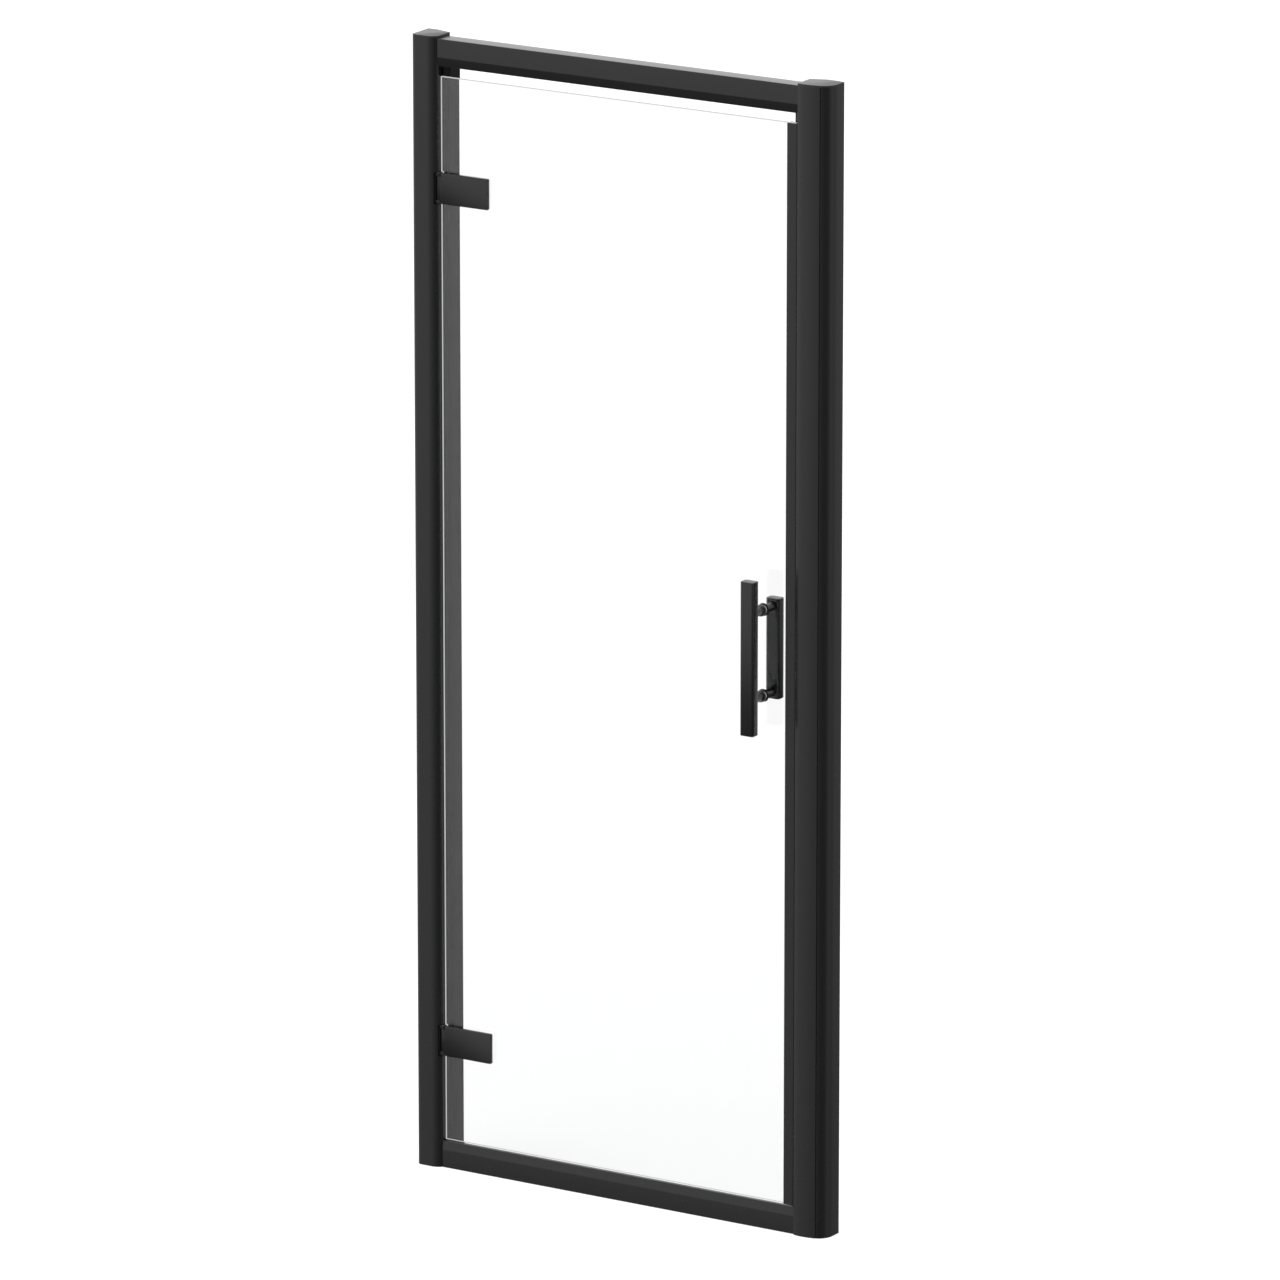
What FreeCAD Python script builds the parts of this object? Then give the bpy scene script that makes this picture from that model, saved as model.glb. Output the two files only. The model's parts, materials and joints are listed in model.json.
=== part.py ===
import FreeCAD, Part
import math
import os
import types
from collections import namedtuple

import Sketcher

# A framed hinged shower door, closed. Two posts telescope over channels on the two walls, two
# rails join them, and one glass leaf hangs on two plate hinges and opens outward, towards -Y.
# Every piece is drawn in the frame's own directions: X from the hinge-side wall, Y back from the
# front line of the posts, Z up from the floor. Hinge pieces take Z from the hinge's middle and
# handle pieces X and Z from the handle's middle. Placements then bring X to the middle of the
# frame and Y to the middle of the glass.

SIZES = (
    ("full_width", 777, "frame, from wall to wall"),
    ("full_height", 1900, "frame, from floor to caps"),
    ("glass_plane", 11, "front line of the posts back to the middle of the glass"),
    ("overrun", 5, "how far every cut runs past the surface"),
    ("same_place", 0.001, "edges closer than this lie in one plane"),
    ("post_wall", 1.6, "wall of posts, channels, rails and stops"),
    ("cap_thickness", 3.5, "post caps"),
    ("hinge_jamb_width", 45.5, "hinge-side post across its face"),
    ("hinge_crown", 4.3, "rise of its crowned front"),
    ("hinge_crown_start", 8, "where its crown is full, from the wall"),
    ("hinge_crown_end", 28, "where its crown starts to fall"),
    ("hinge_shoulder_x", 40.9, "where its front turns into the corner"),
    ("hinge_shoulder_rise", 0.5, "front there, ahead of the front line"),
    ("hinge_corner_radius", 12.1, "its corner towards the leaf"),
    ("hinge_corner_depth", 5, "where that corner ends on its side"),
    ("hinge_side_depth", 40, "back edge of its side"),
    ("hinge_back_x", 16.5, "where its slanted back turns flat"),
    ("hinge_back_depth", 47.5, "its flat back"),
    ("hinge_channel_front", 2.4, "hinge-side channel, front"),
    ("hinge_channel_back", 44.8, "hinge-side channel, back"),
    ("hinge_channel_flange", 19, "hinge-side channel, out from the wall"),
    ("strike_jamb_width", 41, "strike-side post across its face"),
    ("strike_reveal", 17.5, "channel showing between that post and the wall"),
    ("strike_edge_depth", 1.9, "where its side turns to the front"),
    ("strike_edge_run", 0.9, "width of that small corner"),
    ("strike_edge_front", 0.5, "front end of that small corner"),
    ("strike_edge_radius", 1.5, "radius of that small corner"),
    ("strike_crown", 2.1, "rise of its crowned front"),
    ("strike_crown_run", 14.5, "top of the crown, from the side"),
    ("strike_front_end", 1, "front at its wall-side end"),
    ("strike_side_depth", 39, "back edge of its side"),
    ("strike_back_run", 26.5, "where its slanted back turns flat, from the side"),
    ("strike_back_depth", 49.3, "its flat back"),
    ("strike_channel_front", 3, "strike-side channel, flange under the post"),
    ("strike_channel_back", 47, "strike-side channel, back"),
    ("strike_channel_flange", 30, "strike-side channel, out from the wall"),
    ("nose_radius", 26, "rounded front of that channel"),
    ("nose_run", 16.7, "width of the rounded front"),
    ("nose_front", 1.7, "front end of the round"),
    ("nose_depth", 26, "where the round meets the wall side"),
    ("wall_hole_radius", 2.75, "holes for wall screws"),
    ("wall_hole_depth", 24, "those holes, back from the front line"),
    ("wall_hole_inset", 150, "first and last wall hole, from the ends"),
    ("adjusting_inset", 300, "first and last adjusting screw, from the ends"),
    ("hinge_adjusting_x", 8, "adjusting screws, from the hinge-side wall"),
    ("strike_adjusting_run", 7.5, "adjusting screws, from the strike post's outer edge"),
    ("adjusting_radius", 1.9, "adjusting screw, shank"),
    ("adjusting_length", 6.3, "adjusting screw, below its head"),
    ("adjusting_head_radius", 3.6, "adjusting screw, head"),
    ("adjusting_head", 2.2, "adjusting screw, head height"),
    ("screw_clearance", 0.2, "round a screw in a plain hole"),
    ("thread_clearance", 0.05, "round a screw in its tapped hole"),
    ("screw_cap_radius", 6, "snap cap over an adjusting screw"),
    ("screw_cap_height", 3.4, "snap cap, height"),
    ("screw_cap_wall", 1, "snap cap, wall"),
    ("rail_drop", 0.5, "top rail below the posts' ends"),
    ("rail_front", 2.2, "rail face, behind the front line"),
    ("rail_back", 31.2, "rail back"),
    ("rail_face", 30.5, "rail face height"),
    ("rail_edge_radius", 0.8, "outer edges of a rail"),
    ("lip_height", 14.8, "lip past the rail face"),
    ("lip_front", 4.4, "lip's front at its free edge"),
    ("lip_back", 12.2, "lip's back"),
    ("port_radius", 1.95, "screw port in a rail"),
    ("port_height", 5.6, "screw port, from the rail's outer face"),
    ("port_half", 4, "half the block round a screw port"),
    ("first_port_depth", 12, "front screw port"),
    ("second_port_depth", 25.2, "back screw port"),
    ("rail_screw_length", 19, "rail screw, below its head"),
    ("rail_screw_radius", 1.9, "rail screw, shank"),
    ("rail_screw_head_radius", 3.2, "rail screw, head"),
    ("rail_screw_head", 2.4, "rail screw, head height"),
    ("stop_back", 48, "back of both stops"),
    ("stop_return", 10, "stop's flange against the post"),
    ("stop_edge_radius", 1.5, "outer edges of a stop"),
    ("hinge_stop_width", 14.5, "stop at the hinge side"),
    ("hinge_stop_front", 17.5, "its front"),
    ("strike_stop_width", 15.5, "stop at the strike side"),
    ("strike_stop_front", 20.8, "its front"),
    ("seal_inset", 1, "strip on a stop, from the post"),
    ("seal_width", 12.5, "hinge-side seal"),
    ("seal_base", 1.2, "hinge-side seal, base"),
    ("seal_bead_inset", 2, "hinge-side seal, bead from the base's edge"),
    ("seal_bead_radius", 1.2, "hinge-side seal, round of the bead"),
    ("seal_clearance", 0.4, "closed leaf to hinge-side seal"),
    ("frame_magnet_width", 13.5, "magnet strip on the strike stop"),
    ("frame_magnet", 1.7, "its thickness"),
    ("magnet_edge_radius", 0.5, "edges of both magnet strips"),
    ("door_magnet_width", 11, "magnet strip on the leaf"),
    ("door_magnet", 1.6, "its thickness"),
    ("door_magnet_inset", 1.8, "from the closing profile's outer side"),
    ("glass_thickness", 6, "glass"),
    ("glass_start", 47.7, "glass edge beside the hinge post, from the wall"),
    ("glass_arris", 0.6, "ground edge of the glass"),
    ("glass_bottom_gap", 2, "bottom rail's lip to glass"),
    ("glass_top_gap", 17.4, "glass to top rail's lip"),
    ("glass_notch_x", 50.5, "glass edge at a hinge, from the wall"),
    ("glass_notch_half", 26.4, "half height of that notch"),
    ("glass_hole_radius", 7, "holes through the glass"),
    ("closing_gap", 1.7, "closing profile to strike post"),
    ("closing_width", 19.5, "closing profile on the leaf's free edge"),
    ("closing_side", 2.2, "its sides"),
    ("closing_web", 4.5, "its outer wall"),
    ("closing_front_radius", 2.5, "its outer front edge"),
    ("closing_back_radius", 1.5, "its outer back edge"),
    ("closing_inner_radius", 0.6, "its edges on the glass"),
    ("closing_cap", 1.5, "its end caps"),
    ("liner", 0.8, "gasket round the glass edge in the closing profile"),
    ("liner_inset", 0.5, "that gasket behind the profile's edge"),
    ("upper_hinge_drop", 249.5, "frame top down to the upper hinge's middle"),
    ("lower_hinge_rise", 217.5, "floor up to the lower hinge's middle"),
    ("pivot_x", 45, "hinge axis, from the wall"),
    ("pivot_y", 7.1, "hinge axis, behind the front line"),
    ("pin_radius", 2.5, "hinge pin"),
    ("pin_clearance", 0.05, "round the pin in a bush and in the lugs"),
    ("pin_chamfer", 0.5, "ends of the pin"),
    ("knuckle_radius", 4.1, "hinge knuckle and lugs"),
    ("knuckle_half", 19.1, "half height of the knuckle"),
    ("hinge_half", 25.5, "half height of a hinge"),
    ("lug", 5.5, "bracket lug above and below the knuckle"),
    ("bush_radius", 3, "bush, outside"),
    ("bush_seat_clearance", 0.03, "bush in the knuckle"),
    ("bush_length", 8, "bush in the knuckle, length"),
    ("bush_flange_radius", 3.9, "bush flange"),
    ("bush_flange", 0.6, "bush flange, thickness"),
    ("notch_x", 39.5, "post cut back for a hinge, from the wall"),
    ("notch_depth", 12.5, "that cut on the post's side"),
    ("notch_clearance", 1, "that cut past the hinge, above and below"),
    ("plate_start", 49.9, "front plate beside the lugs, from the wall"),
    ("plate_end", 140, "front plate's free end, from the wall"),
    ("plate_front", 3, "front plate's face"),
    ("plate_thickness", 4.5, "front plate"),
    ("plate_corner", 2.5, "front plate's corners"),
    ("plate_chamfer", 0.5, "front plate's bevel"),
    ("plate_gasket", 0.5, "gaskets between plates and glass"),
    ("gasket_inset", 0.7, "gaskets inside the plates' edges"),
    ("back_plate_start", 62, "back plate, from the wall"),
    ("back_plate_end", 131, "back plate's free end"),
    ("back_plate_half", 19, "half height of the back plate"),
    ("back_plate_thickness", 4, "back plate"),
    ("first_clamp_x", 78, "clamp screw near the pin, from the wall"),
    ("second_clamp_x", 116, "clamp screw near the free end"),
    ("boss_radius", 4, "tapped boss on the front plate"),
    ("boss_length", 6, "that boss, into the glass hole"),
    ("clamp_tap", 2, "tapped hole past the boss into the plate"),
    ("clamp_radius", 2.5, "clamp screw, shank"),
    ("clamp_end_gap", 1, "clamp screw's point above the tapped hole's floor"),
    ("clamp_head_radius", 4.5, "clamp screw, head"),
    ("clamp_head", 2.5, "clamp screw, head height"),
    ("counterbore_floor", 1.4, "back plate under a clamp screw's head"),
    ("sleeve_clearance", 0.2, "sleeve in a glass hole and on its boss"),
    ("web_x", 36.9, "bracket's inner plate, from the wall"),
    ("bracket_thickness", 3, "bracket"),
    ("flange_front", 14.5, "bracket's flange on the post, front"),
    ("flange_back", 37, "bracket's flange on the post, back"),
    ("bracket_screw_depth", 28, "bracket screws, behind the front line"),
    ("bracket_screw_rise", 14, "bracket screws, from the hinge's middle"),
    ("bracket_screw_radius", 2.4, "bracket screw, shank"),
    ("bracket_screw_length", 6, "bracket screw, below its head"),
    ("bracket_screw_head_radius", 4.3, "bracket screw, head"),
    ("bracket_screw_head", 2.6, "bracket screw, head height"),
    ("handle_inset", 45.8, "handle's middle, from the closing profile"),
    ("handle_rise", 961.5, "handle's middle, from the floor"),
    ("bar_width", 25, "handle bars across their face"),
    ("bar_depth", 18, "handle bars, front to back"),
    ("bar_corner", 4, "handle bars' long edges"),
    ("bar_chamfer", 0.8, "handle bars' ends"),
    ("bar_reach", 50, "outer face of both bars, from the middle of the glass"),
    ("front_bar_length", 254, "front bar"),
    ("back_bar_length", 166, "back bar"),
    ("standoff_spacing", 142, "between the two standoffs"),
    ("neck_radius", 7.2, "standoffs"),
    ("collar_radius", 9.7, "ball-shaped foot of a front standoff"),
    ("collar_seat", 1.7, "that ball's middle, out from its washer"),
    ("flange_radius", 10.6, "flat foot of a back standoff"),
    ("flange_length", 2, "that foot, out from its washer"),
    ("washer_inset", 0.4, "washers inside the standoffs' feet"),
    ("washer", 0.8, "washers on the glass"),
    ("stud_radius", 4, "studs through the glass"),
    ("stud_grip", 7, "stud into a bar"),
    ("stud_hole_gap", 1, "tapped hole in a bar past the stud"),
    ("stud_clearance", 0.2, "round a stud in standoffs, washers and sleeves"),
    ("grub_radius", 1.9, "grub screw in a back standoff"),
    ("grub_place", 6, "grub screw, ahead of the back bar"),
)

# Shares of a screw's head that its hexagonal socket takes.
SOCKET_WIDTH_SHARE = 0.5
SOCKET_DEPTH_SHARE = 0.6

doc = FreeCAD.newDocument("hinged_shower_door")
nodes = []


def make_sheet():
    sheet = doc.addObject("Spreadsheet::Sheet", "Sizes")
    for row, (name, number, meaning) in enumerate(SIZES, start=1):
        sheet.set(f"A{row}", meaning)
        sheet.set(f"B{row}", str(number))
        sheet.setAlias(f"B{row}", name)
    doc.recompute()


class Length:
    """A length that knows the formula which gives it from the sheet's cells."""

    def __init__(self, number, formula):
        self.number = float(number)
        self.formula = formula

    def __add__(self, other):
        other = as_length(other)
        return Length(self.number + other.number, f"({self.formula} + {other.formula})")

    def __sub__(self, other):
        other = as_length(other)
        return Length(self.number - other.number, f"({self.formula} - {other.formula})")

    def __mul__(self, other):
        other = as_length(other)
        return Length(self.number * other.number, f"({self.formula} * {other.formula})")

    def __truediv__(self, other):
        other = as_length(other)
        return Length(self.number / other.number, f"({self.formula} / {other.formula})")

    def __rsub__(self, other):
        return as_length(other) - self

    def __neg__(self):
        return Length(-self.number, f"(0 - {self.formula})")

    __radd__ = __add__
    __rmul__ = __mul__


def as_length(value):
    return value if isinstance(value, Length) else Length(value, str(value))


def root(value):
    return Length(math.sqrt(value.number), f"sqrt({value.formula})")


def tangent_radius(run, rise):
    """Radius of the arc that starts level and falls by a rise over a run."""
    return (run * run + rise * rise) / (rise * 2)


def bind(item, path, value):
    item.setExpression(path, as_length(value).formula)


make_sheet()
size = types.SimpleNamespace(
    **{name: Length(number, f"Sizes.{name}") for name, number, meaning in SIZES}
)

# Places that several pieces share.
wall = size.post_wall
post_top = size.full_height - size.cap_thickness
strike_edge = size.full_width - size.strike_reveal
strike_face = strike_edge - size.strike_jamb_width
rail_top = post_top - size.rail_drop
lip_end = size.rail_face + size.lip_height
stop_length = rail_top - size.rail_face * 2
glass_front = size.glass_plane - size.glass_thickness / 2
glass_back = size.glass_plane + size.glass_thickness / 2
glass_bottom = lip_end + size.glass_bottom_gap
glass_top = rail_top - lip_end - size.glass_top_gap
liner_front = glass_front - size.liner
liner_back = glass_back + size.liner
closing_front = liner_front - size.closing_side
closing_back = liner_back + size.closing_side
closing_end = strike_face - size.closing_gap
closing_start = closing_end - size.closing_width
glass_end = closing_end - size.closing_web - size.liner
handle_x = closing_start - size.handle_inset
hinge_rises = {
    "upper": size.full_height - size.upper_hinge_drop,
    "lower": size.lower_hinge_rise,
}
clamp_places = (size.first_clamp_x, size.second_clamp_x)
plate_back = size.plate_front + size.plate_thickness
boss_end = plate_back + size.boss_length
back_plate_front = glass_back + size.plate_gasket
back_plate_back = back_plate_front + size.back_plate_thickness
clamp_seat = back_plate_front + size.counterbore_floor
jamb_inside = size.hinge_jamb_width - wall
port_depths = (size.first_port_depth, size.second_port_depth)
adjusting_rises = (size.adjusting_inset, post_top / 2, post_top - size.adjusting_inset)
wall_hole_step = (post_top - size.wall_hole_inset * 2) / 3
wall_hole_rises = [size.wall_hole_inset + wall_hole_step * step for step in range(4)]
bar_front = size.glass_plane - size.bar_reach
bar_back = size.glass_plane + size.bar_reach
front_bar_back = bar_front + size.bar_depth
back_bar_front = bar_back - size.bar_depth
washer_front = glass_front - size.washer
washer_back = glass_back + size.washer
standoff_rises = (size.standoff_spacing / 2, -size.standoff_spacing / 2)

# Sketching and solid tools.

Circle = namedtuple("Circle", "x y radius")
ORIGIN_PLANES = {"XY": ("XY_Plane", 1), "XZ": ("XZ_Plane", -1), "YZ": ("YZ_Plane", 1)}
UPRIGHT = FreeCAD.Vector(0, 0, 1)
AXIS_TURNS = {
    "X": FreeCAD.Rotation(FreeCAD.Vector(0, 1, 0), 90),
    "Y": FreeCAD.Rotation(FreeCAD.Vector(1, 0, 0), -90),
    "Z": FreeCAD.Rotation(),
}
END_FOR_END = FreeCAD.Rotation(FreeCAD.Vector(0, 1, 0), 180)


def flat_point(corner):
    return FreeCAD.Vector(as_length(corner[0]).number, as_length(corner[1]).number, 0)


def arc_between(start, end, radius):
    """Arc under a half circle, which turns left where its radius is above zero."""
    chord = end - start
    rise = math.sqrt(max(radius**2 - (chord.Length / 2) ** 2, 0))
    side = FreeCAD.Vector(-chord.y, chord.x, 0).normalize() * math.copysign(rise, radius)
    centre = (start + end) / 2 + side
    if radius < 0:
        start, end = end, start
    first = math.atan2(start.y - centre.y, start.x - centre.x)
    last = math.atan2(end.y - centre.y, end.x - centre.x)
    if last < first:
        last += 2 * math.pi
    return Part.ArcOfCircle(Part.Circle(centre, UPRIGHT, abs(radius)), first, last)


def hold(sketch, kind, places, value):
    """Adds a sized constraint and ties it to the sheet."""
    value = as_length(value)
    number = sketch.addConstraint(Sketcher.Constraint(kind, *places, value.number))
    sketch.setExpression(f"Constraints[{number}]", value.formula)


def draw_circle(sketch, circle):
    centre = flat_point(circle)
    edge = sketch.addGeometry(Part.Circle(centre, UPRIGHT, as_length(circle.radius).number))
    hold(sketch, "DistanceX", (-1, 1, edge, 3), circle.x)
    hold(sketch, "DistanceY", (-1, 1, edge, 3), circle.y)
    hold(sketch, "Radius", (edge,), circle.radius)


def draw_outline(sketch, corners):
    """Closed outline through its corners. A third value bends the stretch after a corner."""
    ends = []
    for corner, following in zip(corners, corners[1:] + corners[:1]):
        start = flat_point(corner)
        end = flat_point(following)
        if len(corner) == 2:
            edge = sketch.addGeometry(Part.LineSegment(start, end))
            ends.append((edge, 1, 2))
            continue
        bend = as_length(corner[2])
        edge = sketch.addGeometry(arc_between(start, end, bend.number))
        ends.append((edge, 1, 2) if bend.number > 0 else (edge, 2, 1))
        hold(sketch, "Radius", (edge,), bend if bend.number > 0 else -bend)
    for corner, this, following in zip(corners, ends, ends[1:] + ends[:1]):
        edge, first, last = this
        hold(sketch, "DistanceX", (-1, 1, edge, first), corner[0])
        hold(sketch, "DistanceY", (-1, 1, edge, first), corner[1])
        joint = (edge, last, following[0], following[1])
        sketch.addConstraint(Sketcher.Constraint("Coincident", *joint))


def box_outline(left, right, low, high, radius=None):
    """Rectangle, with rounded corners where a radius is given."""
    if radius is None:
        return [(left, low), (right, low), (right, high), (left, high)]
    return [
        (left + radius, low),
        (right - radius, low, radius),
        (right, low + radius),
        (right, high - radius, radius),
        (right - radius, high),
        (left + radius, high, radius),
        (left, high - radius),
        (left, low + radius, radius),
    ]


def new_body(label):
    body = doc.addObject("PartDesign::Body", label)
    body.Label = label
    return body


def sketch_on(body, plane, offset, shapes):
    role, side = ORIGIN_PLANES[plane]
    origin = [item for item in body.Origin.OriginFeatures if item.Role == role][0]
    sketch = body.newObject("Sketcher::SketchObject", "Sketch")
    sketch.AttachmentSupport = (origin, [""])
    sketch.MapMode = "FlatFace"
    bind(sketch, "AttachmentOffset.Base.z", offset)
    for shape in shapes:
        if isinstance(shape, Circle):
            draw_circle(sketch, shape)
        else:
            draw_outline(sketch, shape)
    return sketch


def pad(body, plane, start, end, *shapes):
    """Solid from one place to a higher one along the plane's axis."""
    side = ORIGIN_PLANES[plane][1]
    sketch = sketch_on(body, plane, start if side > 0 else -end, shapes)
    feature = body.newObject("PartDesign::Pad", "Pad")
    feature.Profile = sketch
    bind(feature, "Length", end - start)
    body.Tip = feature
    doc.recompute()


def pocket(body, plane, start, end, *shapes):
    """Cut from one place to a higher one along the plane's axis."""
    before = body.Shape.Volume
    side = ORIGIN_PLANES[plane][1]
    sketch = sketch_on(body, plane, end if side > 0 else -start, shapes)
    feature = body.newObject("PartDesign::Pocket", "Pocket")
    feature.Profile = sketch
    bind(feature, "Length", end - start)
    body.Tip = feature
    doc.recompute()
    if not body.Shape.Volume < before:
        raise RuntimeError(f"{body.Label}: a pocket cuts nothing")


def chamfer_rim(body, axis, place, width):
    """Bevels every edge that lies in one plane across an axis."""
    base = body.Tip
    names = []
    for number, edge in enumerate(base.Shape.Edges, start=1):
        low = getattr(edge.BoundBox, f"{axis}Min")
        high = getattr(edge.BoundBox, f"{axis}Max")
        if max(abs(low - place.number), abs(high - place.number)) < size.same_place.number:
            names.append(f"Edge{number}")
    feature = body.newObject("PartDesign::Chamfer", "Chamfer")
    feature.Base = (base, names)
    bind(feature, "Size", width)
    body.Tip = feature
    doc.recompute()


def set_down(item, x=0, y=0, z=0, turn=None):
    """Brings a piece from the frame's corner to its place, and lists it as a node."""
    if turn is not None:
        item.Placement = FreeCAD.Placement(FreeCAD.Vector(), turn)
    bind(item, "Placement.Base.x", x - size.full_width / 2)
    bind(item, "Placement.Base.y", y - size.glass_plane)
    bind(item, "Placement.Base.z", z)
    nodes.append(item)


def on_line(axis, place, along):
    """Point on a line along an axis: its two fixed coordinates and its place on the line."""
    point = list(place)
    point.insert("XYZ".index(axis), along)
    return point


def bound_solid(kind, axis, place, start, end):
    """Round or sided solid along an axis between two places, in either order."""
    if start.number > end.number:
        start, end = end, start
    item = doc.addObject(kind, "Solid")
    item.Placement = FreeCAD.Placement(FreeCAD.Vector(), AXIS_TURNS[axis])
    bind(item, "Height", end - start)
    for name, value in zip("xyz", on_line(axis, place, start)):
        bind(item, f"Placement.Base.{name}", value)
    return item


def rod(axis, place, start, end, radius):
    item = bound_solid("Part::Cylinder", axis, place, as_length(start), as_length(end))
    bind(item, "Radius", radius)
    return item


def hexagon(axis, place, start, end, radius):
    item = bound_solid("Part::Prism", axis, place, as_length(start), as_length(end))
    item.Polygon = 6
    bind(item, "Circumradius", radius)
    return item


def ball(place, radius):
    item = doc.addObject("Part::Sphere", "Solid")
    bind(item, "Radius", radius)
    for name, value in zip("xyz", place):
        bind(item, f"Placement.Base.{name}", value)
    return item


def fused(*solids):
    item = doc.addObject("Part::MultiFuse", "Fuse")
    item.Shapes = list(solids)
    return item


def cut(base, tool):
    item = doc.addObject("Part::Cut", "Cut")
    item.Base = base
    item.Tool = tool
    return item


def ring(axis, place, start, end, outer, inner):
    return cut(rod(axis, place, start, end, outer), rod(axis, place, start, end, inner))


def group(label, solids):
    item = doc.addObject("Part::Compound", label)
    item.Label = label
    item.Links = list(solids)
    return item


def screw(axis, place, seat, point, shank_radius, head_radius, head_height):
    """Screw from its seat to its point, with a socket in the head on the other side."""
    outward = 1 if seat.number > point.number else -1
    top = seat + head_height * outward
    shank = rod(axis, place, point, seat, shank_radius)
    head = rod(axis, place, seat, top, head_radius)
    floor = top - head_height * (outward * SOCKET_DEPTH_SHARE)
    beyond = top + size.overrun * outward
    socket = hexagon(axis, place, floor, beyond, head_radius * SOCKET_WIDTH_SHARE)
    return cut(fused(shank, head), socket)


# Posts, wall channels and caps.


def hinge_jamb_outline():
    fall_run = size.hinge_shoulder_x - size.hinge_crown_end
    fall = size.hinge_crown - size.hinge_shoulder_rise
    return [
        (0, 0, tangent_radius(size.hinge_crown_start, size.hinge_crown)),
        (size.hinge_crown_start, -size.hinge_crown),
        (size.hinge_crown_end, -size.hinge_crown, tangent_radius(fall_run, fall)),
        (size.hinge_shoulder_x, -size.hinge_shoulder_rise, size.hinge_corner_radius),
        (size.hinge_jamb_width, size.hinge_corner_depth),
        (size.hinge_jamb_width, size.hinge_side_depth),
        (size.hinge_back_x, size.hinge_back_depth),
        (0, size.hinge_back_depth),
    ]


def make_hinge_jamb():
    """Post open towards the wall, cut back at its inner front corner for the two hinges."""
    body = new_body("hinge_jamb")
    pad(body, "XY", as_length(0), post_top, hinge_jamb_outline())
    inside = [
        (-size.overrun, wall),
        (0, wall),
        (size.hinge_crown_start, wall - size.hinge_crown),
        (size.hinge_crown_end, wall - size.hinge_crown),
        (size.hinge_shoulder_x - wall / 2, wall - size.hinge_shoulder_rise),
        (jamb_inside, size.hinge_corner_depth + wall),
        (jamb_inside, size.hinge_side_depth - wall),
        (size.hinge_back_x, size.hinge_back_depth - wall),
        (-size.overrun, size.hinge_back_depth - wall),
    ]
    pocket(body, "XY", as_length(0), post_top, inside)
    notch_end = size.hinge_jamb_width + size.overrun
    notch_front = -size.hinge_crown - size.overrun
    notch = box_outline(size.notch_x, notch_end, notch_front, size.notch_depth)
    half = size.hinge_half + size.notch_clearance
    for rise in hinge_rises.values():
        pocket(body, "XY", rise - half, rise + half, notch)
    hole_radius = size.bracket_screw_radius + size.screw_clearance
    holes = [
        Circle(size.bracket_screw_depth, rise + size.bracket_screw_rise * side, hole_radius)
        for rise in hinge_rises.values()
        for side in (1, -1)
    ]
    holes += rail_screw_holes()
    pocket(body, "YZ", jamb_inside - wall, size.hinge_jamb_width + wall, *holes)
    adjusting = adjusting_holes(size.hinge_adjusting_x)
    inner_back = size.hinge_back_depth - wall * 2
    pocket(body, "XZ", inner_back, size.hinge_back_depth + wall, *adjusting)
    set_down(body)


def rail_screw_holes():
    """Holes in a post's side for the screws into both rails."""
    radius = size.rail_screw_radius + size.screw_clearance
    rises = (size.port_height, rail_top - size.port_height)
    return [Circle(depth, rise, radius) for depth in port_depths for rise in rises]


def adjusting_holes(x, clearance=size.screw_clearance):
    """Holes for the screws that hold a post on its channel."""
    return [Circle(x, rise, size.adjusting_radius + clearance) for rise in adjusting_rises]


def strike_front_corners():
    """Front of the strike-side post, from its side to its outer edge."""
    rise = size.strike_crown + size.strike_edge_front
    fall = size.strike_crown + size.strike_front_end
    rise_run = size.strike_crown_run - size.strike_edge_run
    fall_run = size.strike_jamb_width - size.strike_crown_run
    crown_x = strike_face + size.strike_crown_run
    return [
        (strike_face, size.strike_edge_depth, size.strike_edge_radius),
        (strike_face + size.strike_edge_run, size.strike_edge_front, tangent_radius(rise_run, rise)),
        (crown_x, -size.strike_crown, tangent_radius(fall_run, fall)),
    ]


def strike_back_corners():
    """Back of the strike-side post, from its outer edge to its side."""
    return [
        (strike_edge, size.strike_back_depth),
        (strike_face + size.strike_back_run, size.strike_back_depth),
        (strike_face, size.strike_side_depth),
    ]


def make_strike_jamb():
    """Post open towards the wall, drawn a little way off its channel."""
    body = new_body("strike_jamb")
    outer_front = [(strike_edge, size.strike_front_end)]
    outline = strike_front_corners() + outer_front + strike_back_corners()
    pad(body, "XY", as_length(0), post_top, outline)
    inside_face = strike_face + wall
    inside_back = size.strike_back_depth - wall
    inside = [
        (inside_face, size.strike_edge_depth + wall),
        (strike_face + size.strike_crown_run, wall - size.strike_crown),
        (strike_edge, size.strike_front_end + wall),
        (strike_edge + size.overrun, size.strike_front_end + wall),
        (strike_edge + size.overrun, inside_back),
        (strike_face + size.strike_back_run, inside_back),
        (inside_face, size.strike_side_depth - wall),
    ]
    pocket(body, "XY", as_length(0), post_top, inside)
    pocket(body, "YZ", strike_face - wall, inside_face + wall, *rail_screw_holes())
    adjusting = adjusting_holes(strike_edge - size.strike_adjusting_run)
    pocket(body, "XZ", inside_back - wall, size.strike_back_depth + wall, *adjusting)
    set_down(body)


def drill_channel(body, web_start, flange_back, x):
    """Wall screw holes in a channel's web and tapped holes in its back flange."""
    holes = [Circle(size.wall_hole_depth, rise, size.wall_hole_radius) for rise in wall_hole_rises]
    pocket(body, "YZ", web_start - wall, web_start + wall * 2, *holes)
    taps = adjusting_holes(x, size.thread_clearance)
    pocket(body, "XZ", flange_back - wall * 2, flange_back + wall, *taps)


def make_hinge_wall_channel():
    body = new_body("hinge_wall_channel")
    front = size.hinge_channel_front
    back = size.hinge_channel_back
    flange = size.hinge_channel_flange
    outline = [
        (0, front),
        (flange, front),
        (flange, front + wall),
        (wall, front + wall),
        (wall, back - wall),
        (flange, back - wall),
        (flange, back),
        (0, back),
    ]
    pad(body, "XY", as_length(0), post_top, outline)
    drill_channel(body, as_length(0), back, size.hinge_adjusting_x)
    set_down(body)


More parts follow.
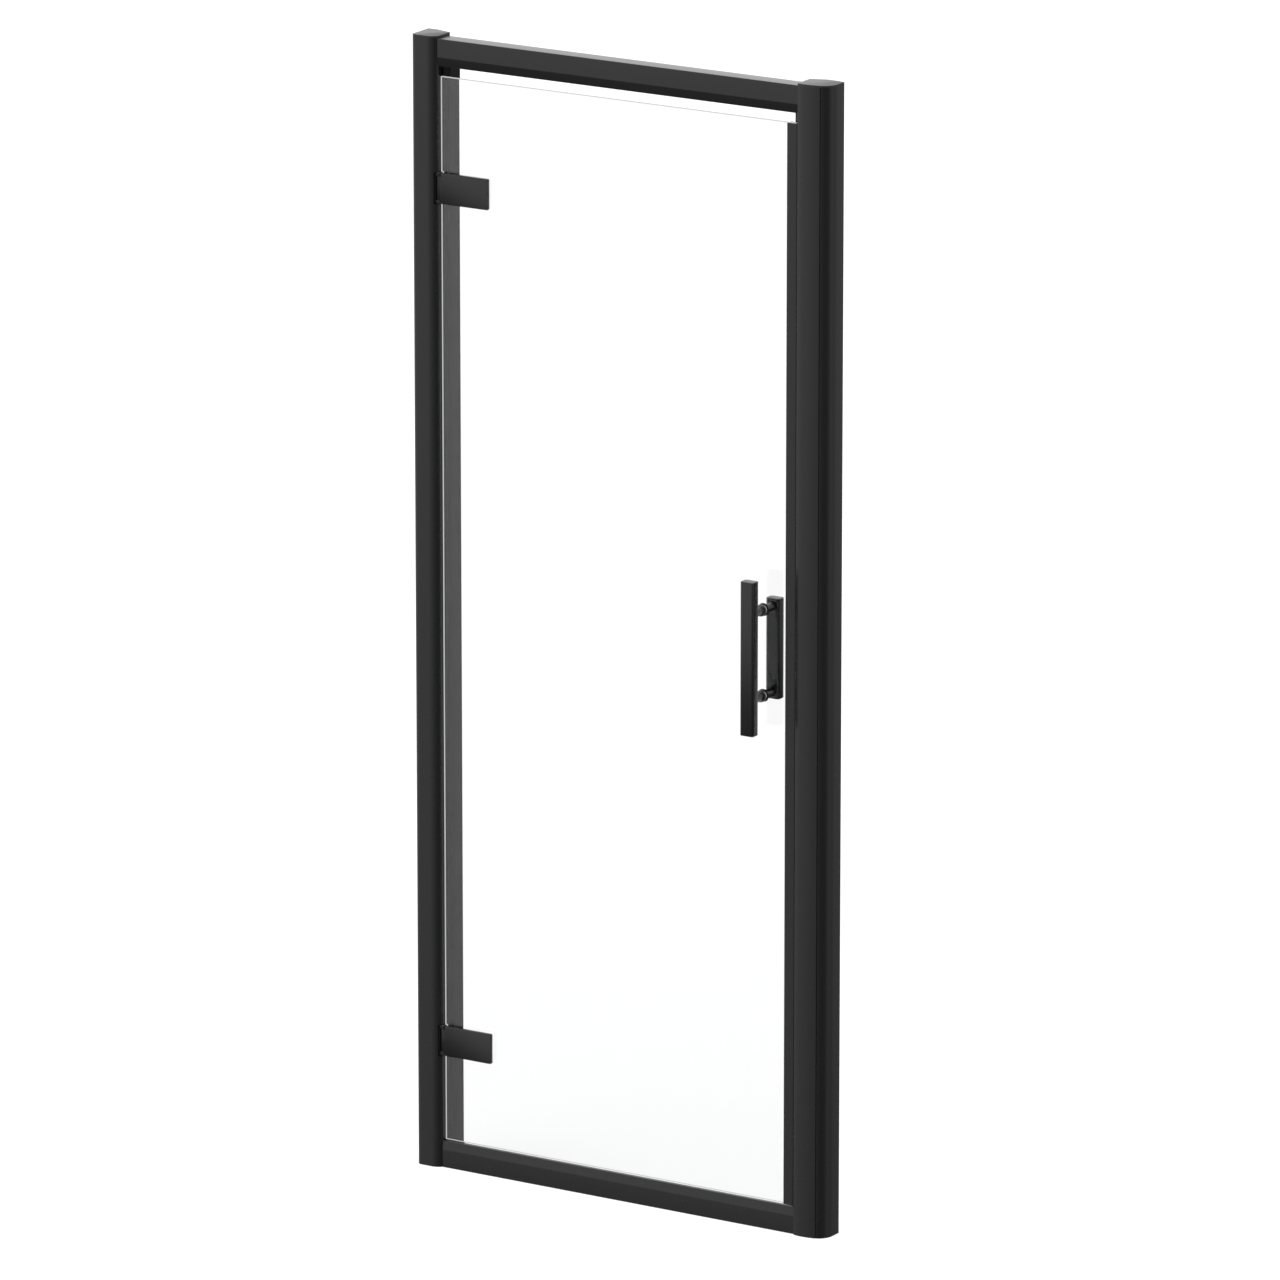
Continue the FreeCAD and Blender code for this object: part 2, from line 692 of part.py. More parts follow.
def make_strike_wall_channel():
    """Channel with a rounded front where it shows beside the post."""
    body = new_body("strike_wall_channel")
    front = size.strike_channel_front
    back = size.strike_channel_back
    flange_x = size.full_width - size.strike_channel_flange
    nose_x = size.full_width - size.nose_run
    inner_radius = size.nose_radius - wall
    inner_drop = size.nose_depth - front - wall
    inner_run = root(inner_radius * inner_radius - inner_drop * inner_drop)
    web_x = size.full_width - wall
    outline = [
        (flange_x, front),
        (nose_x, front),
        (nose_x, size.nose_front, size.nose_radius),
        (size.full_width, size.nose_depth),
        (size.full_width, back),
        (flange_x, back),
        (flange_x, back - wall),
        (web_x, back - wall),
        (web_x, size.nose_depth, -inner_radius),
        (web_x - inner_radius + inner_run, front + wall),
        (flange_x, front + wall),
    ]
    pad(body, "XY", as_length(0), post_top, outline)
    drill_channel(body, web_x, back, strike_edge - size.strike_adjusting_run)
    set_down(body)


def make_jamb_caps():
    """Flat caps on the posts. The strike-side one covers the channel too."""
    nose_drop = size.nose_depth - size.strike_front_end
    nose = [
        (strike_edge, size.strike_front_end, tangent_radius(nose_drop, size.strike_reveal)),
        (size.full_width, size.nose_depth),
        (size.full_width, size.strike_channel_back),
    ]
    outlines = {
        "hinge_jamb_cap": hinge_jamb_outline(),
        "strike_jamb_cap": strike_front_corners() + nose + strike_back_corners(),
    }
    for label, outline in outlines.items():
        body = new_body(label)
        pad(body, "XY", post_top, size.full_height, outline)
        set_down(body)


def make_adjusting_screws():
    """Screws from behind through each post into its channel, and snap caps over them."""
    sides = {
        "hinge": (size.hinge_adjusting_x, size.hinge_back_depth),
        "strike": (strike_edge - size.strike_adjusting_run, size.strike_back_depth),
    }
    cap_inner = size.screw_cap_radius - size.screw_cap_wall
    for side, (x, seat) in sides.items():
        screws = []
        caps = []
        for rise in adjusting_rises:
            shank = size.adjusting_radius
            head_radius = size.adjusting_head_radius
            head = size.adjusting_head
            point = seat - size.adjusting_length
            screws.append(screw("Y", (x, rise), seat, point, shank, head_radius, head))
            cap_end = seat + size.screw_cap_height
            shell = rod("Y", (x, rise), seat, cap_end, size.screw_cap_radius)
            hollow = rod("Y", (x, rise), seat, cap_end - size.screw_cap_wall, cap_inner)
            caps.append(cut(shell, hollow))
        set_down(group(f"{side}_adjusting_screws", screws))
        set_down(group(f"{side}_screw_caps", caps))


# Rails, their screws and the stops between them.


def make_rail(label, rise, turn=None):
    """Rail from post to post: a box with two screw ports, and a lip towards the glass."""
    body = new_body(label)
    length = strike_face - size.hinge_jamb_width
    front = size.rail_front
    back = size.rail_back
    edge = size.rail_edge_radius
    outline = [
        (front + edge, 0),
        (back - edge, 0, edge),
        (back, edge),
        (back, size.rail_face),
        (size.lip_back, size.rail_face),
        (size.lip_back, lip_end),
        (size.lip_front, lip_end),
        (front, size.rail_face),
        (front, edge, edge),
    ]
    pad(body, "YZ", as_length(0), length, outline)
    first, second = port_depths
    half = size.port_half
    port_top = size.port_height + half
    box_hollow = [
        (front + wall, wall),
        (first - half, wall),
        (first - half, port_top),
        (first + half, port_top),
        (first + half, wall),
        (second - half, wall),
        (second - half, port_top),
        (back - wall, port_top),
        (back - wall, size.rail_face - wall),
        (front + wall, size.rail_face - wall),
    ]
    lip_hollow = [
        (front + wall, size.rail_face),
        (size.lip_back - wall, size.rail_face),
        (size.lip_back - wall, lip_end - wall),
        (size.lip_front + wall, lip_end - wall),
    ]
    ports = [Circle(depth, size.port_height, size.port_radius) for depth in port_depths]
    pocket(body, "YZ", as_length(0), length, box_hollow, lip_hollow, *ports)
    start = size.hinge_jamb_width if turn is None else strike_face
    set_down(body, x=start, z=rise, turn=turn)


def make_rail_screws():
    """Two screws from inside each post into each rail's end."""
    strike_inside = strike_face + wall
    length = size.rail_screw_length + wall
    ends = ((jamb_inside, jamb_inside + length), (strike_inside, strike_inside - length))
    screws = []
    for rise in (size.port_height, rail_top - size.port_height):
        for depth in port_depths:
            for seat, point in ends:
                shank = size.rail_screw_radius
                head_radius = size.rail_screw_head_radius
                head = size.rail_screw_head
                screws.append(screw("X", (depth, rise), seat, point, shank, head_radius, head))
    set_down(group("rail_screws", screws))


def make_stop(label, width, front, x, z, turn=None):
    """Ledge behind the leaf, open towards its post, with a flange on the post's side."""
    body = new_body(label)
    back = size.stop_back
    edge = size.stop_edge_radius
    outline = [
        (0, front),
        (width - edge, front, edge),
        (width, front + edge),
        (width, back - edge, edge),
        (width - edge, back),
        (0, back),
        (0, back - size.stop_return),
        (wall, back - size.stop_return),
        (wall, back - wall),
        (width - wall, back - wall),
        (width - wall, front + wall),
        (0, front + wall),
    ]
    pad(body, "XY", as_length(0), stop_length, outline)
    set_down(body, x=x, z=z, turn=turn)


def make_stops():
    make_stop(
        "hinge_stop",
        size.hinge_stop_width,
        size.hinge_stop_front,
        size.hinge_jamb_width,
        size.rail_face,
    )
    make_stop(
        "strike_stop",
        size.strike_stop_width,
        size.strike_stop_front,
        strike_face,
        rail_top - size.rail_face,
        END_FOR_END,
    )


def make_hinge_stop_seal():
    """Soft strip with a bead that the closed glass nearly touches."""
    body = new_body("hinge_stop_seal")
    start = size.hinge_jamb_width + size.seal_inset
    end = start + size.seal_width
    seat = size.hinge_stop_front
    base = seat - size.seal_base
    bead_start = start + size.seal_bead_inset
    bead_end = end - size.seal_bead_inset
    bead_front = glass_back + size.seal_clearance
    bend = size.seal_bead_radius
    outline = [
        (start, base),
        (bead_start, base),
        (bead_start, bead_front + bend, bend),
        (bead_start + bend, bead_front),
        (bead_end - bend, bead_front, bend),
        (bead_end, bead_front + bend),
        (bead_end, base),
        (end, base),
        (end, seat),
        (start, seat),
    ]
    pad(body, "XY", size.rail_face, rail_top - size.rail_face, outline)
    set_down(body)


def make_strike_magnet_strip():
    body = new_body("strike_magnet_strip")
    end = strike_face - size.seal_inset
    start = end - size.frame_magnet_width
    back = size.strike_stop_front
    outline = box_outline(start, end, back - size.frame_magnet, back, size.magnet_edge_radius)
    pad(body, "XY", size.rail_face, rail_top - size.rail_face, outline)
    set_down(body)


# The leaf: glass and closing profile.


def make_glass_panel():
    """Glass with a notch beside each hinge and round holes for hinges and handle."""
    body = new_body("glass_panel")
    corners = [
        (size.glass_start, glass_bottom),
        (glass_end, glass_bottom),
        (glass_end, glass_top),
        (size.glass_start, glass_top),
    ]
    for rise in hinge_rises.values():
        corners += [
            (size.glass_start, rise + size.glass_notch_half),
            (size.glass_notch_x, rise + size.glass_notch_half),
            (size.glass_notch_x, rise - size.glass_notch_half),
            (size.glass_start, rise - size.glass_notch_half),
        ]
    pad(body, "XZ", glass_front, glass_back, corners)
    radius = size.glass_hole_radius
    holes = [Circle(x, rise, radius) for x in clamp_places for rise in hinge_rises.values()]
    holes += [Circle(handle_x, size.handle_rise + rise, radius) for rise in standoff_rises]
    pocket(body, "XZ", glass_front, glass_back, *holes)
    chamfer_rim(body, "Y", glass_front, size.glass_arris)
    chamfer_rim(body, "Y", glass_back, size.glass_arris)
    set_down(body)


def closing_outline(slot_front, slot_back, slot_floor):
    """Section that holds the glass edge in a slot."""
    front = closing_front
    back = closing_back
    inner = size.closing_inner_radius
    outer = size.closing_front_radius
    outer_back = size.closing_back_radius
    return [
        (closing_start + inner, front),
        (closing_end - outer, front, outer),
        (closing_end, front + outer),
        (closing_end, back - outer_back, outer_back),
        (closing_end - outer_back, back),
        (closing_start + inner, back, inner),
        (closing_start, back - inner),
        (closing_start, slot_back),
        (slot_floor, slot_back),
        (slot_floor, slot_front),
        (closing_start, slot_front),
        (closing_start, front + inner, inner),
    ]


def make_closing_profile():
    """Profile, its gasket on the glass edge, its end caps and its magnet strip."""
    low = glass_bottom + size.closing_cap
    high = glass_top - size.closing_cap
    slot_floor = glass_end + size.liner
    profile = new_body("closing_profile")
    pad(profile, "XY", low, high, closing_outline(liner_front, liner_back, slot_floor))
    set_down(profile)

    gasket = new_body("closing_profile_gasket")
    gasket_start = closing_start + size.liner_inset
    outline = [
        (gasket_start, liner_front),
        (slot_floor, liner_front),
        (slot_floor, liner_back),
        (gasket_start, liner_back),
        (gasket_start, glass_back),
        (glass_end, glass_back),
        (glass_end, glass_front),
        (gasket_start, glass_front),
    ]
    pad(gasket, "XY", low, high, outline)
    set_down(gasket)

    cap_spans = {"bottom": (glass_bottom, low), "top": (high, glass_top)}
    for name, (start, end) in cap_spans.items():
        cap = new_body(f"closing_profile_{name}_cap")
        pad(cap, "XY", start, end, closing_outline(glass_front, glass_back, glass_end))
        set_down(cap)

    strip = new_body("door_magnet_strip")
    strip_end = closing_end - size.door_magnet_inset
    strip_start = strip_end - size.door_magnet_width
    back = closing_back + size.door_magnet
    edge = size.magnet_edge_radius
    pad(strip, "XY", low, high, box_outline(strip_start, strip_end, closing_back, back, edge))
    set_down(strip)


# Hinges. Z is taken from the middle of each hinge.


def make_hinge_bracket(side, rise):
    """Bracket on the post's inner side, with a lug above and below the knuckle."""
    body = new_body(f"{side}_hinge_bracket")
    half = size.hinge_half
    web_end = size.web_x + size.bracket_thickness
    flange_start = jamb_inside - size.bracket_thickness
    front = size.pivot_y - size.knuckle_radius
    back = size.pivot_y + size.knuckle_radius
    plate = [
        (size.web_x, front),
        (web_end, front),
        (web_end, size.flange_front),
        (jamb_inside, size.flange_front),
        (jamb_inside, size.flange_back),
        (flange_start, size.flange_back),
        (flange_start, size.flange_front + size.bracket_thickness),
        (size.web_x, size.flange_front + size.bracket_thickness),
    ]
    pad(body, "XY", -half, half, plate)
    arm = [
        (web_end - size.bracket_thickness / 2, front),
        (size.pivot_x, front, size.knuckle_radius),
        (size.pivot_x + size.knuckle_radius, size.pivot_y, size.knuckle_radius),
        (size.pivot_x, back),
        (web_end - size.bracket_thickness / 2, back),
    ]
    pad(body, "XY", half - size.lug, half, arm)
    pad(body, "XY", -half, size.lug - half, arm)
    bore = Circle(size.pivot_x, size.pivot_y, size.pin_radius + size.pin_clearance)
    pocket(body, "XY", -half, half, bore)
    holes = [
        Circle(
            size.bracket_screw_depth,
            size.bracket_screw_rise * way,
            size.bracket_screw_radius + size.thread_clearance,
        )
        for way in (1, -1)
    ]
    pocket(body, "YZ", flange_start, jamb_inside, *holes)
    set_down(body, z=rise)


def make_hinge_bracket_screws(side, rise):
    screws = []
    for way in (1, -1):
        place = (size.bracket_screw_depth, size.bracket_screw_rise * way)
        seat = size.hinge_jamb_width
        point = seat - size.bracket_screw_length
        shank = size.bracket_screw_radius
        head_radius = size.bracket_screw_head_radius
        screws.append(screw("X", place, seat, point, shank, head_radius, size.bracket_screw_head))
    set_down(group(f"{side}_hinge_bracket_screws", screws), z=rise)


def make_hinge_pin(side, rise):
    body = new_body(f"{side}_hinge_pin")
    section = Circle(size.pivot_x, size.pivot_y, size.pin_radius)
    pad(body, "XY", -size.hinge_half, size.hinge_half, section)
    chamfer_rim(body, "Z", size.hinge_half, size.pin_chamfer)
    chamfer_rim(body, "Z", -size.hinge_half, size.pin_chamfer)
    set_down(body, z=rise)


def make_hinge_bushes(side, rise):
    """Flanged bushes in both ends of the knuckle, which run on the pin."""
    centre = (size.pivot_x, size.pivot_y)
    bushes = []
    for way in (1, -1):
        seat = size.knuckle_half * way
        inner_end = (size.knuckle_half - size.bush_length) * way
        outer_end = (size.knuckle_half + size.bush_flange) * way
        sleeve = rod("Z", centre, inner_end, seat, size.bush_radius)
        flange = rod("Z", centre, seat, outer_end, size.bush_flange_radius)
        bore = rod("Z", centre, inner_end, outer_end, size.pin_radius + size.pin_clearance)
        bushes.append(cut(fused(sleeve, flange), bore))
    set_down(group(f"{side}_hinge_bushes", bushes), z=rise)


def make_hinge_front_plate(side, rise):
    """Plate on the outside of the glass, with the knuckle and two tapped bosses."""
    body = new_body(f"{side}_hinge_front_plate")
    half = size.hinge_half
    front = size.plate_front
    face = box_outline(size.plate_start, size.plate_end, -half, half, size.plate_corner)
    pad(body, "XZ", front, plate_back, face)
    chamfer_rim(body, "Y", front, size.plate_chamfer)
    knuckle_half = size.knuckle_half
    web_end = size.plate_start + size.plate_corner
    web = box_outline(size.pivot_x, web_end, front + size.plate_chamfer, plate_back)
    pad(body, "XY", -knuckle_half, knuckle_half, web)
    knuckle = Circle(size.pivot_x, size.pivot_y, size.knuckle_radius)
    pad(body, "XY", -knuckle_half, knuckle_half, knuckle)
    bosses = [Circle(x, 0, size.boss_radius) for x in clamp_places]
    pad(body, "XZ", plate_back, boss_end, *bosses)
    bore = Circle(size.pivot_x, size.pivot_y, size.bush_radius + size.bush_seat_clearance)
    pocket(body, "XY", -knuckle_half, knuckle_half, bore)
    tap_radius = size.clamp_radius + size.thread_clearance
    taps = [Circle(x, 0, tap_radius) for x in clamp_places]
    pocket(body, "XZ", plate_back - size.clamp_tap, boss_end, *taps)
    set_down(body, z=rise)


def make_hinge_back_plate(side, rise):
    """Smaller plate on the inside of the glass, bored for the clamp screws."""
    body = new_body(f"{side}_hinge_back_plate")
    half = size.back_plate_half
    start = size.back_plate_start
    end = size.back_plate_end
    outline = box_outline(start, end, -half, half, size.plate_corner)
    pad(body, "XZ", back_plate_front, back_plate_back, outline)
    chamfer_rim(body, "Y", back_plate_back, size.plate_chamfer)
    through = size.clamp_radius + size.screw_clearance
    counterbore = size.clamp_head_radius + size.screw_clearance
    pocket(body, "XZ", back_plate_front, clamp_seat, *[Circle(x, 0, through) for x in clamp_places])
    bores = [Circle(x, 0, counterbore) for x in clamp_places]
    pocket(body, "XZ", clamp_seat, back_plate_back, *bores)
    set_down(body, z=rise)


def make_hinge_gaskets(side, rise):
    """Thin soft sheets between the two plates and the glass."""
    inset = size.gasket_inset
    front = new_body(f"{side}_hinge_front_gasket")
    front_start = size.glass_notch_x + inset
    front_end = size.plate_end - inset
    front_half = size.hinge_half - inset
    front_hole = size.boss_radius + size.screw_clearance
    outline = box_outline(front_start, front_end, -front_half, front_half)
    holes = [Circle(x, 0, front_hole) for x in clamp_places]
    pad(front, "XZ", plate_back, glass_front, outline, *holes)
    set_down(front, z=rise)

    back = new_body(f"{side}_hinge_back_gasket")
    back_start = size.back_plate_start + inset
    back_end = size.back_plate_end - inset
    back_half = size.back_plate_half - inset
    back_hole = size.clamp_radius + size.screw_clearance
    outline = box_outline(back_start, back_end, -back_half, back_half)
    holes = [Circle(x, 0, back_hole) for x in clamp_places]
    pad(back, "XZ", glass_back, back_plate_front, outline, *holes)
    set_down(back, z=rise)


def make_hinge_clamping(side, rise):
    """Screws from the back plate into the bosses, and the sleeves round the bosses."""
    point = plate_back - size.clamp_tap + size.clamp_end_gap
    outer = size.glass_hole_radius - size.sleeve_clearance
    inner = size.boss_radius + size.sleeve_clearance
    screws = []
    sleeves = []
    for x in clamp_places:
        shank = size.clamp_radius
        head_radius = size.clamp_head_radius
        screws.append(screw("Y", (x, 0), clamp_seat, point, shank, head_radius, size.clamp_head))
        sleeves.append(ring("Y", (x, 0), glass_front, glass_back, outer, inner))
    set_down(group(f"{side}_hinge_clamp_screws", screws), z=rise)
    set_down(group(f"{side}_hinge_glass_sleeves", sleeves), z=rise)


def make_hinges():
    for side, rise in hinge_rises.items():
        make_hinge_bracket(side, rise)
        make_hinge_bracket_screws(side, rise)
        make_hinge_pin(side, rise)
        make_hinge_bushes(side, rise)
        make_hinge_front_plate(side, rise)
        make_hinge_back_plate(side, rise)
        make_hinge_gaskets(side, rise)
        make_hinge_clamping(side, rise)


# Handle. X and Z are taken from its middle.


def set_on_handle(item):
    set_down(item, x=handle_x, z=size.handle_rise)


def make_handle_bar(label, front, length, hole_start, hole_end):
    """Upright bar with two blind holes for the studs."""
    body = new_body(label)
    half_width = size.bar_width / 2
    back = front + size.bar_depth
    section = box_outline(-half_width, half_width, front, back, size.bar_corner)
    pad(body, "XY", -length / 2, length / 2, section)
    chamfer_rim(body, "Z", length / 2, size.bar_chamfer)
    chamfer_rim(body, "Z", -length / 2, size.bar_chamfer)
    radius = size.stud_radius + size.thread_clearance
    holes = [Circle(0, rise, radius) for rise in standoff_rises]
    pocket(body, "XZ", hole_start, hole_end, *holes)
    set_on_handle(body)


def make_handle_bars():
    depth = size.stud_grip + size.stud_hole_gap
    front_floor = front_bar_back - depth
    back_floor = back_bar_front + depth
    front_length = size.front_bar_length
    back_length = size.back_bar_length
    make_handle_bar("handle_front_bar", bar_front, front_length, front_floor, front_bar_back)
    make_handle_bar("handle_back_bar", back_bar_front, back_length, back_bar_front, back_floor)


def make_handle_fittings():
    """Turned standoffs, washers, sleeves, studs and grub screws at both glass holes."""
    bore = size.stud_radius + size.stud_clearance
    collar_middle = washer_front - size.collar_seat
    flange_end = washer_back + size.flange_length
    sleeve_outer = size.glass_hole_radius - size.sleeve_clearance
    grub_depth = back_bar_front - size.grub_place
    stud_front = front_bar_back - size.stud_grip
    stud_back = back_bar_front + size.stud_grip
    pieces = {name: [] for name in ("front", "back", "washers", "sleeves", "studs", "grubs")}
    for rise in standoff_rises:
        line = (0, rise)
        neck = rod("Y", line, front_bar_back, washer_front, size.neck_radius)
        whole_ball = ball((0, collar_middle, rise), size.collar_radius)
        ball_end = collar_middle + size.collar_radius + size.overrun
        beyond = rod("Y", line, washer_front, ball_end, size.collar_radius)
        front_bore = rod("Y", line, front_bar_back, washer_front, bore)
        pieces["front"].append(cut(fused(neck, cut(whole_ball, beyond)), front_bore))
        neck = rod("Y", line, washer_back, back_bar_front, size.neck_radius)
        flange = rod("Y", line, washer_back, flange_end, size.flange_radius)
        back_bore = rod("Y", line, washer_back, back_bar_front, bore)
        back_standoff = cut(fused(neck, flange), back_bore)
        grub_line = (0, grub_depth)
        grub_foot = rise - size.neck_radius
        stud_side = rise - size.stud_radius
        grub_bore = size.grub_radius + size.thread_clearance
        grub_hole = rod("Z", grub_line, grub_foot - size.overrun, stud_side, grub_bore)
        pieces["back"].append(cut(back_standoff, grub_hole))
        grub_top = stud_side - size.stud_clearance
        grub_end = grub_foot + size.screw_clearance
        grub = rod("Z", grub_line, grub_end, grub_top, size.grub_radius)
        socket_radius = size.grub_radius * SOCKET_WIDTH_SHARE
        socket_top = grub_end + size.grub_radius * SOCKET_DEPTH_SHARE
        socket_start = grub_foot - size.overrun
        socket = hexagon("Z", grub_line, socket_start, socket_top, socket_radius)
        pieces["grubs"].append(cut(grub, socket))
        front_radius = size.collar_radius - size.washer_inset
        back_radius = size.flange_radius - size.washer_inset
        front_washer = ring("Y", line, washer_front, glass_front, front_radius, bore)
        back_washer = ring("Y", line, glass_back, washer_back, back_radius, bore)
        pieces["washers"] += [front_washer, back_washer]
        pieces["sleeves"].append(ring("Y", line, glass_front, glass_back, sleeve_outer, bore))
        pieces["studs"].append(rod("Y", line, stud_front, stud_back, size.stud_radius))
    labels = {
        "front": "handle_front_standoffs",
        "back": "handle_back_standoffs",
        "washers": "handle_washers",
        "sleeves": "handle_glass_sleeves",
        "studs": "handle_studs",
        "grubs": "handle_grub_screws",
    }
    for name, label in labels.items():
        set_on_handle(group(label, pieces[name]))


def check_and_write():
    doc.recompute()
    faults = []
    for item in doc.Objects:
        if "Invalid" in item.State or "Error" in item.State:
            faults.append(f"{item.Label}: {item.State}")
    for item in nodes:
        if item.Shape.isNull() or not item.Shape.isValid():
            faults.append(f"{item.Label}: bad shape")
    if faults:
        raise RuntimeError("\n".join(faults))
    os.makedirs("parts", exist_ok=True)
    for item in nodes:
        item.Shape.exportStep(f"parts/{item.Label}.step")
        box = item.Shape.BoundBox
        solids = len(item.Shape.Solids)
        print(f"{item.Label}: {solids} solid(s), {box.XLength:.1f} x {box.YLength:.1f} x {box.ZLength:.1f}")
    print(len(nodes), "nodes")


make_hinge_wall_channel()
make_strike_wall_channel()
make_hinge_jamb()
make_strike_jamb()
make_jamb_caps()
make_adjusting_screws()
make_rail("bottom_rail", 0)
make_rail("top_rail", rail_top, END_FOR_END)
make_rail_screws()
make_stops()
make_hinge_stop_seal()
make_strike_magnet_strip()
make_glass_panel()
make_closing_profile()
make_hinges()
make_handle_bars()
make_handle_fittings()
check_and_write()
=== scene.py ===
"""Framed hinged shower door: finer meshes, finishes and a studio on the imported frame.

Outlines are drawn from above the hinge-side post, in metres: x from the wall beside the
hinges, y back from the line of the posts' front edges, z up from the floor.
"""

import json
import math

import bmesh
import bpy
from mathutils import Matrix, Vector, geometry

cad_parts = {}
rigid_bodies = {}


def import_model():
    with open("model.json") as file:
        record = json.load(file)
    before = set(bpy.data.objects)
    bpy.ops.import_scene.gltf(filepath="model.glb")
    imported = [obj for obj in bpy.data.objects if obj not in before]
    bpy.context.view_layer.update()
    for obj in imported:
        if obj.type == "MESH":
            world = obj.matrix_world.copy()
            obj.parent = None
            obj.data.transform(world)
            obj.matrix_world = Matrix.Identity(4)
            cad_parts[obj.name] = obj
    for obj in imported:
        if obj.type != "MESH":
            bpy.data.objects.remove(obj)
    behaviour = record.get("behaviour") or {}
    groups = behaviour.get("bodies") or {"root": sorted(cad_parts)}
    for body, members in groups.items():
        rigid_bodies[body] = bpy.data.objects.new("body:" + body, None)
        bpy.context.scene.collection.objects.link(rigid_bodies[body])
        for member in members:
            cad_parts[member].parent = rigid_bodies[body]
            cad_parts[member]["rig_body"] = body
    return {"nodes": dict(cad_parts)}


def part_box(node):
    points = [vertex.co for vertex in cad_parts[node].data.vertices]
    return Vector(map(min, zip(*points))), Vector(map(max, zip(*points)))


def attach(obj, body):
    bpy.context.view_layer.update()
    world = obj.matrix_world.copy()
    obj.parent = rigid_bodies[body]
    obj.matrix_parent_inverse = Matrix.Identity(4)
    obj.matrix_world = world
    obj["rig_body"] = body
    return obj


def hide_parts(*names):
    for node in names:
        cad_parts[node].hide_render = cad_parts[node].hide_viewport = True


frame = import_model()

bl_info = {
    "name": "Framed shower door",
    "version": (1, 0, 0),
    "blender": (4, 5, 0),
    "location": "3D View > Sidebar > Shower door",
    "description": "Builds the visible pieces, finishes and studio of a hinged shower door",
    "category": "Object",
}

MM = 0.001

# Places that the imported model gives, and where the outlines have the glass.
FULL_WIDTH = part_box("strike_wall_channel")[1].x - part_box("hinge_wall_channel")[0].x
POST_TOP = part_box("hinge_jamb")[1].z
FULL_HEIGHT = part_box("hinge_jamb_cap")[1].z
RAIL_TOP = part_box("top_rail")[1].z
GLASS_LOW, GLASS_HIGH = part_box("glass_panel")
GLASS_FRONT = 8 * MM
GLASS_BACK = GLASS_FRONT + (GLASS_HIGH.y - GLASS_LOW.y)
PLACE = Matrix.Translation((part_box("hinge_wall_channel")[0].x, GLASS_LOW.y - GLASS_FRONT, 0))
HINGE_RISES = {
    side: (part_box(f"{side}_hinge_pin")[0].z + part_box(f"{side}_hinge_pin")[1].z) / 2
    for side in ("upper", "lower")
}


def at_hinge_wall(point):
    """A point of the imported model, as it is drawn in this file."""
    return PLACE.inverted() @ point


HANDLE_MIDDLE = at_hinge_wall(sum(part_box("handle_front_bar"), Vector()) / 2)
HANDLE_X, HANDLE_RISE = HANDLE_MIDDLE.x, HANDLE_MIDDLE.z

# How finely round shapes are divided.
ARC_STEP = math.radians(6)
CIRCLE_STEPS = 48
TURNED_STEPS = 56
BALL_STEPS = 16
RIM_STEPS = 3
LEAST_STEPS = 3
HEXAGON = 6
# Corners that turn less than this aren't eased, and a cut takes this share of a side at most.
SHARP_TURN = math.radians(20)
LONGEST_CUT = 0.45
# Least cosine that a mitre is worked out with.
TIGHTEST_MITRE = 0.3
# Edges that bend more than this stay crisp: on any piece, and on an extruded one.
CRISP = math.radians(30)
CRISP_EXTRUDED = math.radians(7)
# Points nearer than this are one: in a finished piece, and in an extruded section.
MERGED = MM / 500
MERGED_SECTION = MM / 1000
# A face whose normal has less than this share across the glass belongs to its rim.
FACE_SHARE = 0.95
# Small roundings and clearances.
PIN_PLAY = MM / 20
COUNTERBORE_PLAY = MM / 5
KNUCKLE_EDGE = MM / 4
WASHER_EDGE = MM / 10
CLAMP_EDGE = MM / 3
SHANK_EDGE = MM / 3
SHANK_OVERLAP = MM / 2
BRACKET_SCREW_EDGE = MM
# Share of a head's edge where its rounding is half done.
HALF_ROUNDED = 0.3
# Turns of an extruded piece.
ALONG_X = (math.pi / 2, 0.0, math.pi / 2)
UPRIGHT = (0.0, 0.0, 0.0)

# Finish, colour, roughness, relief, grains per metre, lighter share, metal, specular level.
SOLID_FINISHES = (
    ("black_frame", "coat", 0.27, 0.2, 1500, 0.25, 0, 0.5),
    ("black_hardware", "hardware", 0.27, 0.15, 1500, 0.25, 0, 0.5),
    ("black_plastic", "plastic", 0.36, 0.2, 2200, 0.25, 0, 0.5),
    # The ground edges also get a painted glow, an emission set in the finishes step.
    ("ground_glass", "ground", 0.6, 0.2, 900, 0.05, 0, 0.5),
    ("black_rubber", "rubber", 0.6, 0.2, 700, 0.25, 0, 0.08),
    # Painted shade: a copy of the frame's coat with little sheen, for the hinge stop where the rail
    # and post shadow it.
    ("dull_coat", "coat", 0.45, 0.2, 1500, 0.25, 0, 0.08),
    ("magnet_strip", "magnet", 0.45, 0.15, 900, 0.25, 0, 0.5),
    ("white_nylon", "nylon", 0.45, 0.1, 600, 0.05, 0, 0.5),
    ("screw_steel", "steel", 0.28, 0.1, 900, 0.05, 1, 0.5),
    ("bracket_steel", "blackened", 0.42, 0.2, 900, 0.25, 0.6, 0.5),
)
# Slot, tint, roughness and index of refraction.
CLEAR_FINISHES = (("clear_glass", "glass", 0.0, 1.52), ("clear_washer", "washer", 0.12, 1.45))
CLEAR_SPECULAR = 0.42
RELIEF_DEPTH = MM / 20
GRAIN_DETAIL = 3
PATCH_DETAIL = 4
PATCHES_PER_METRE = 9
ROUGHNESS_SPREAD = 0.06
# Noise between these levels makes the lighter specks, and at its mean it leaves the roughness.
SPECKS = (0.35, 0.75)
MEAN_NOISE = 0.5

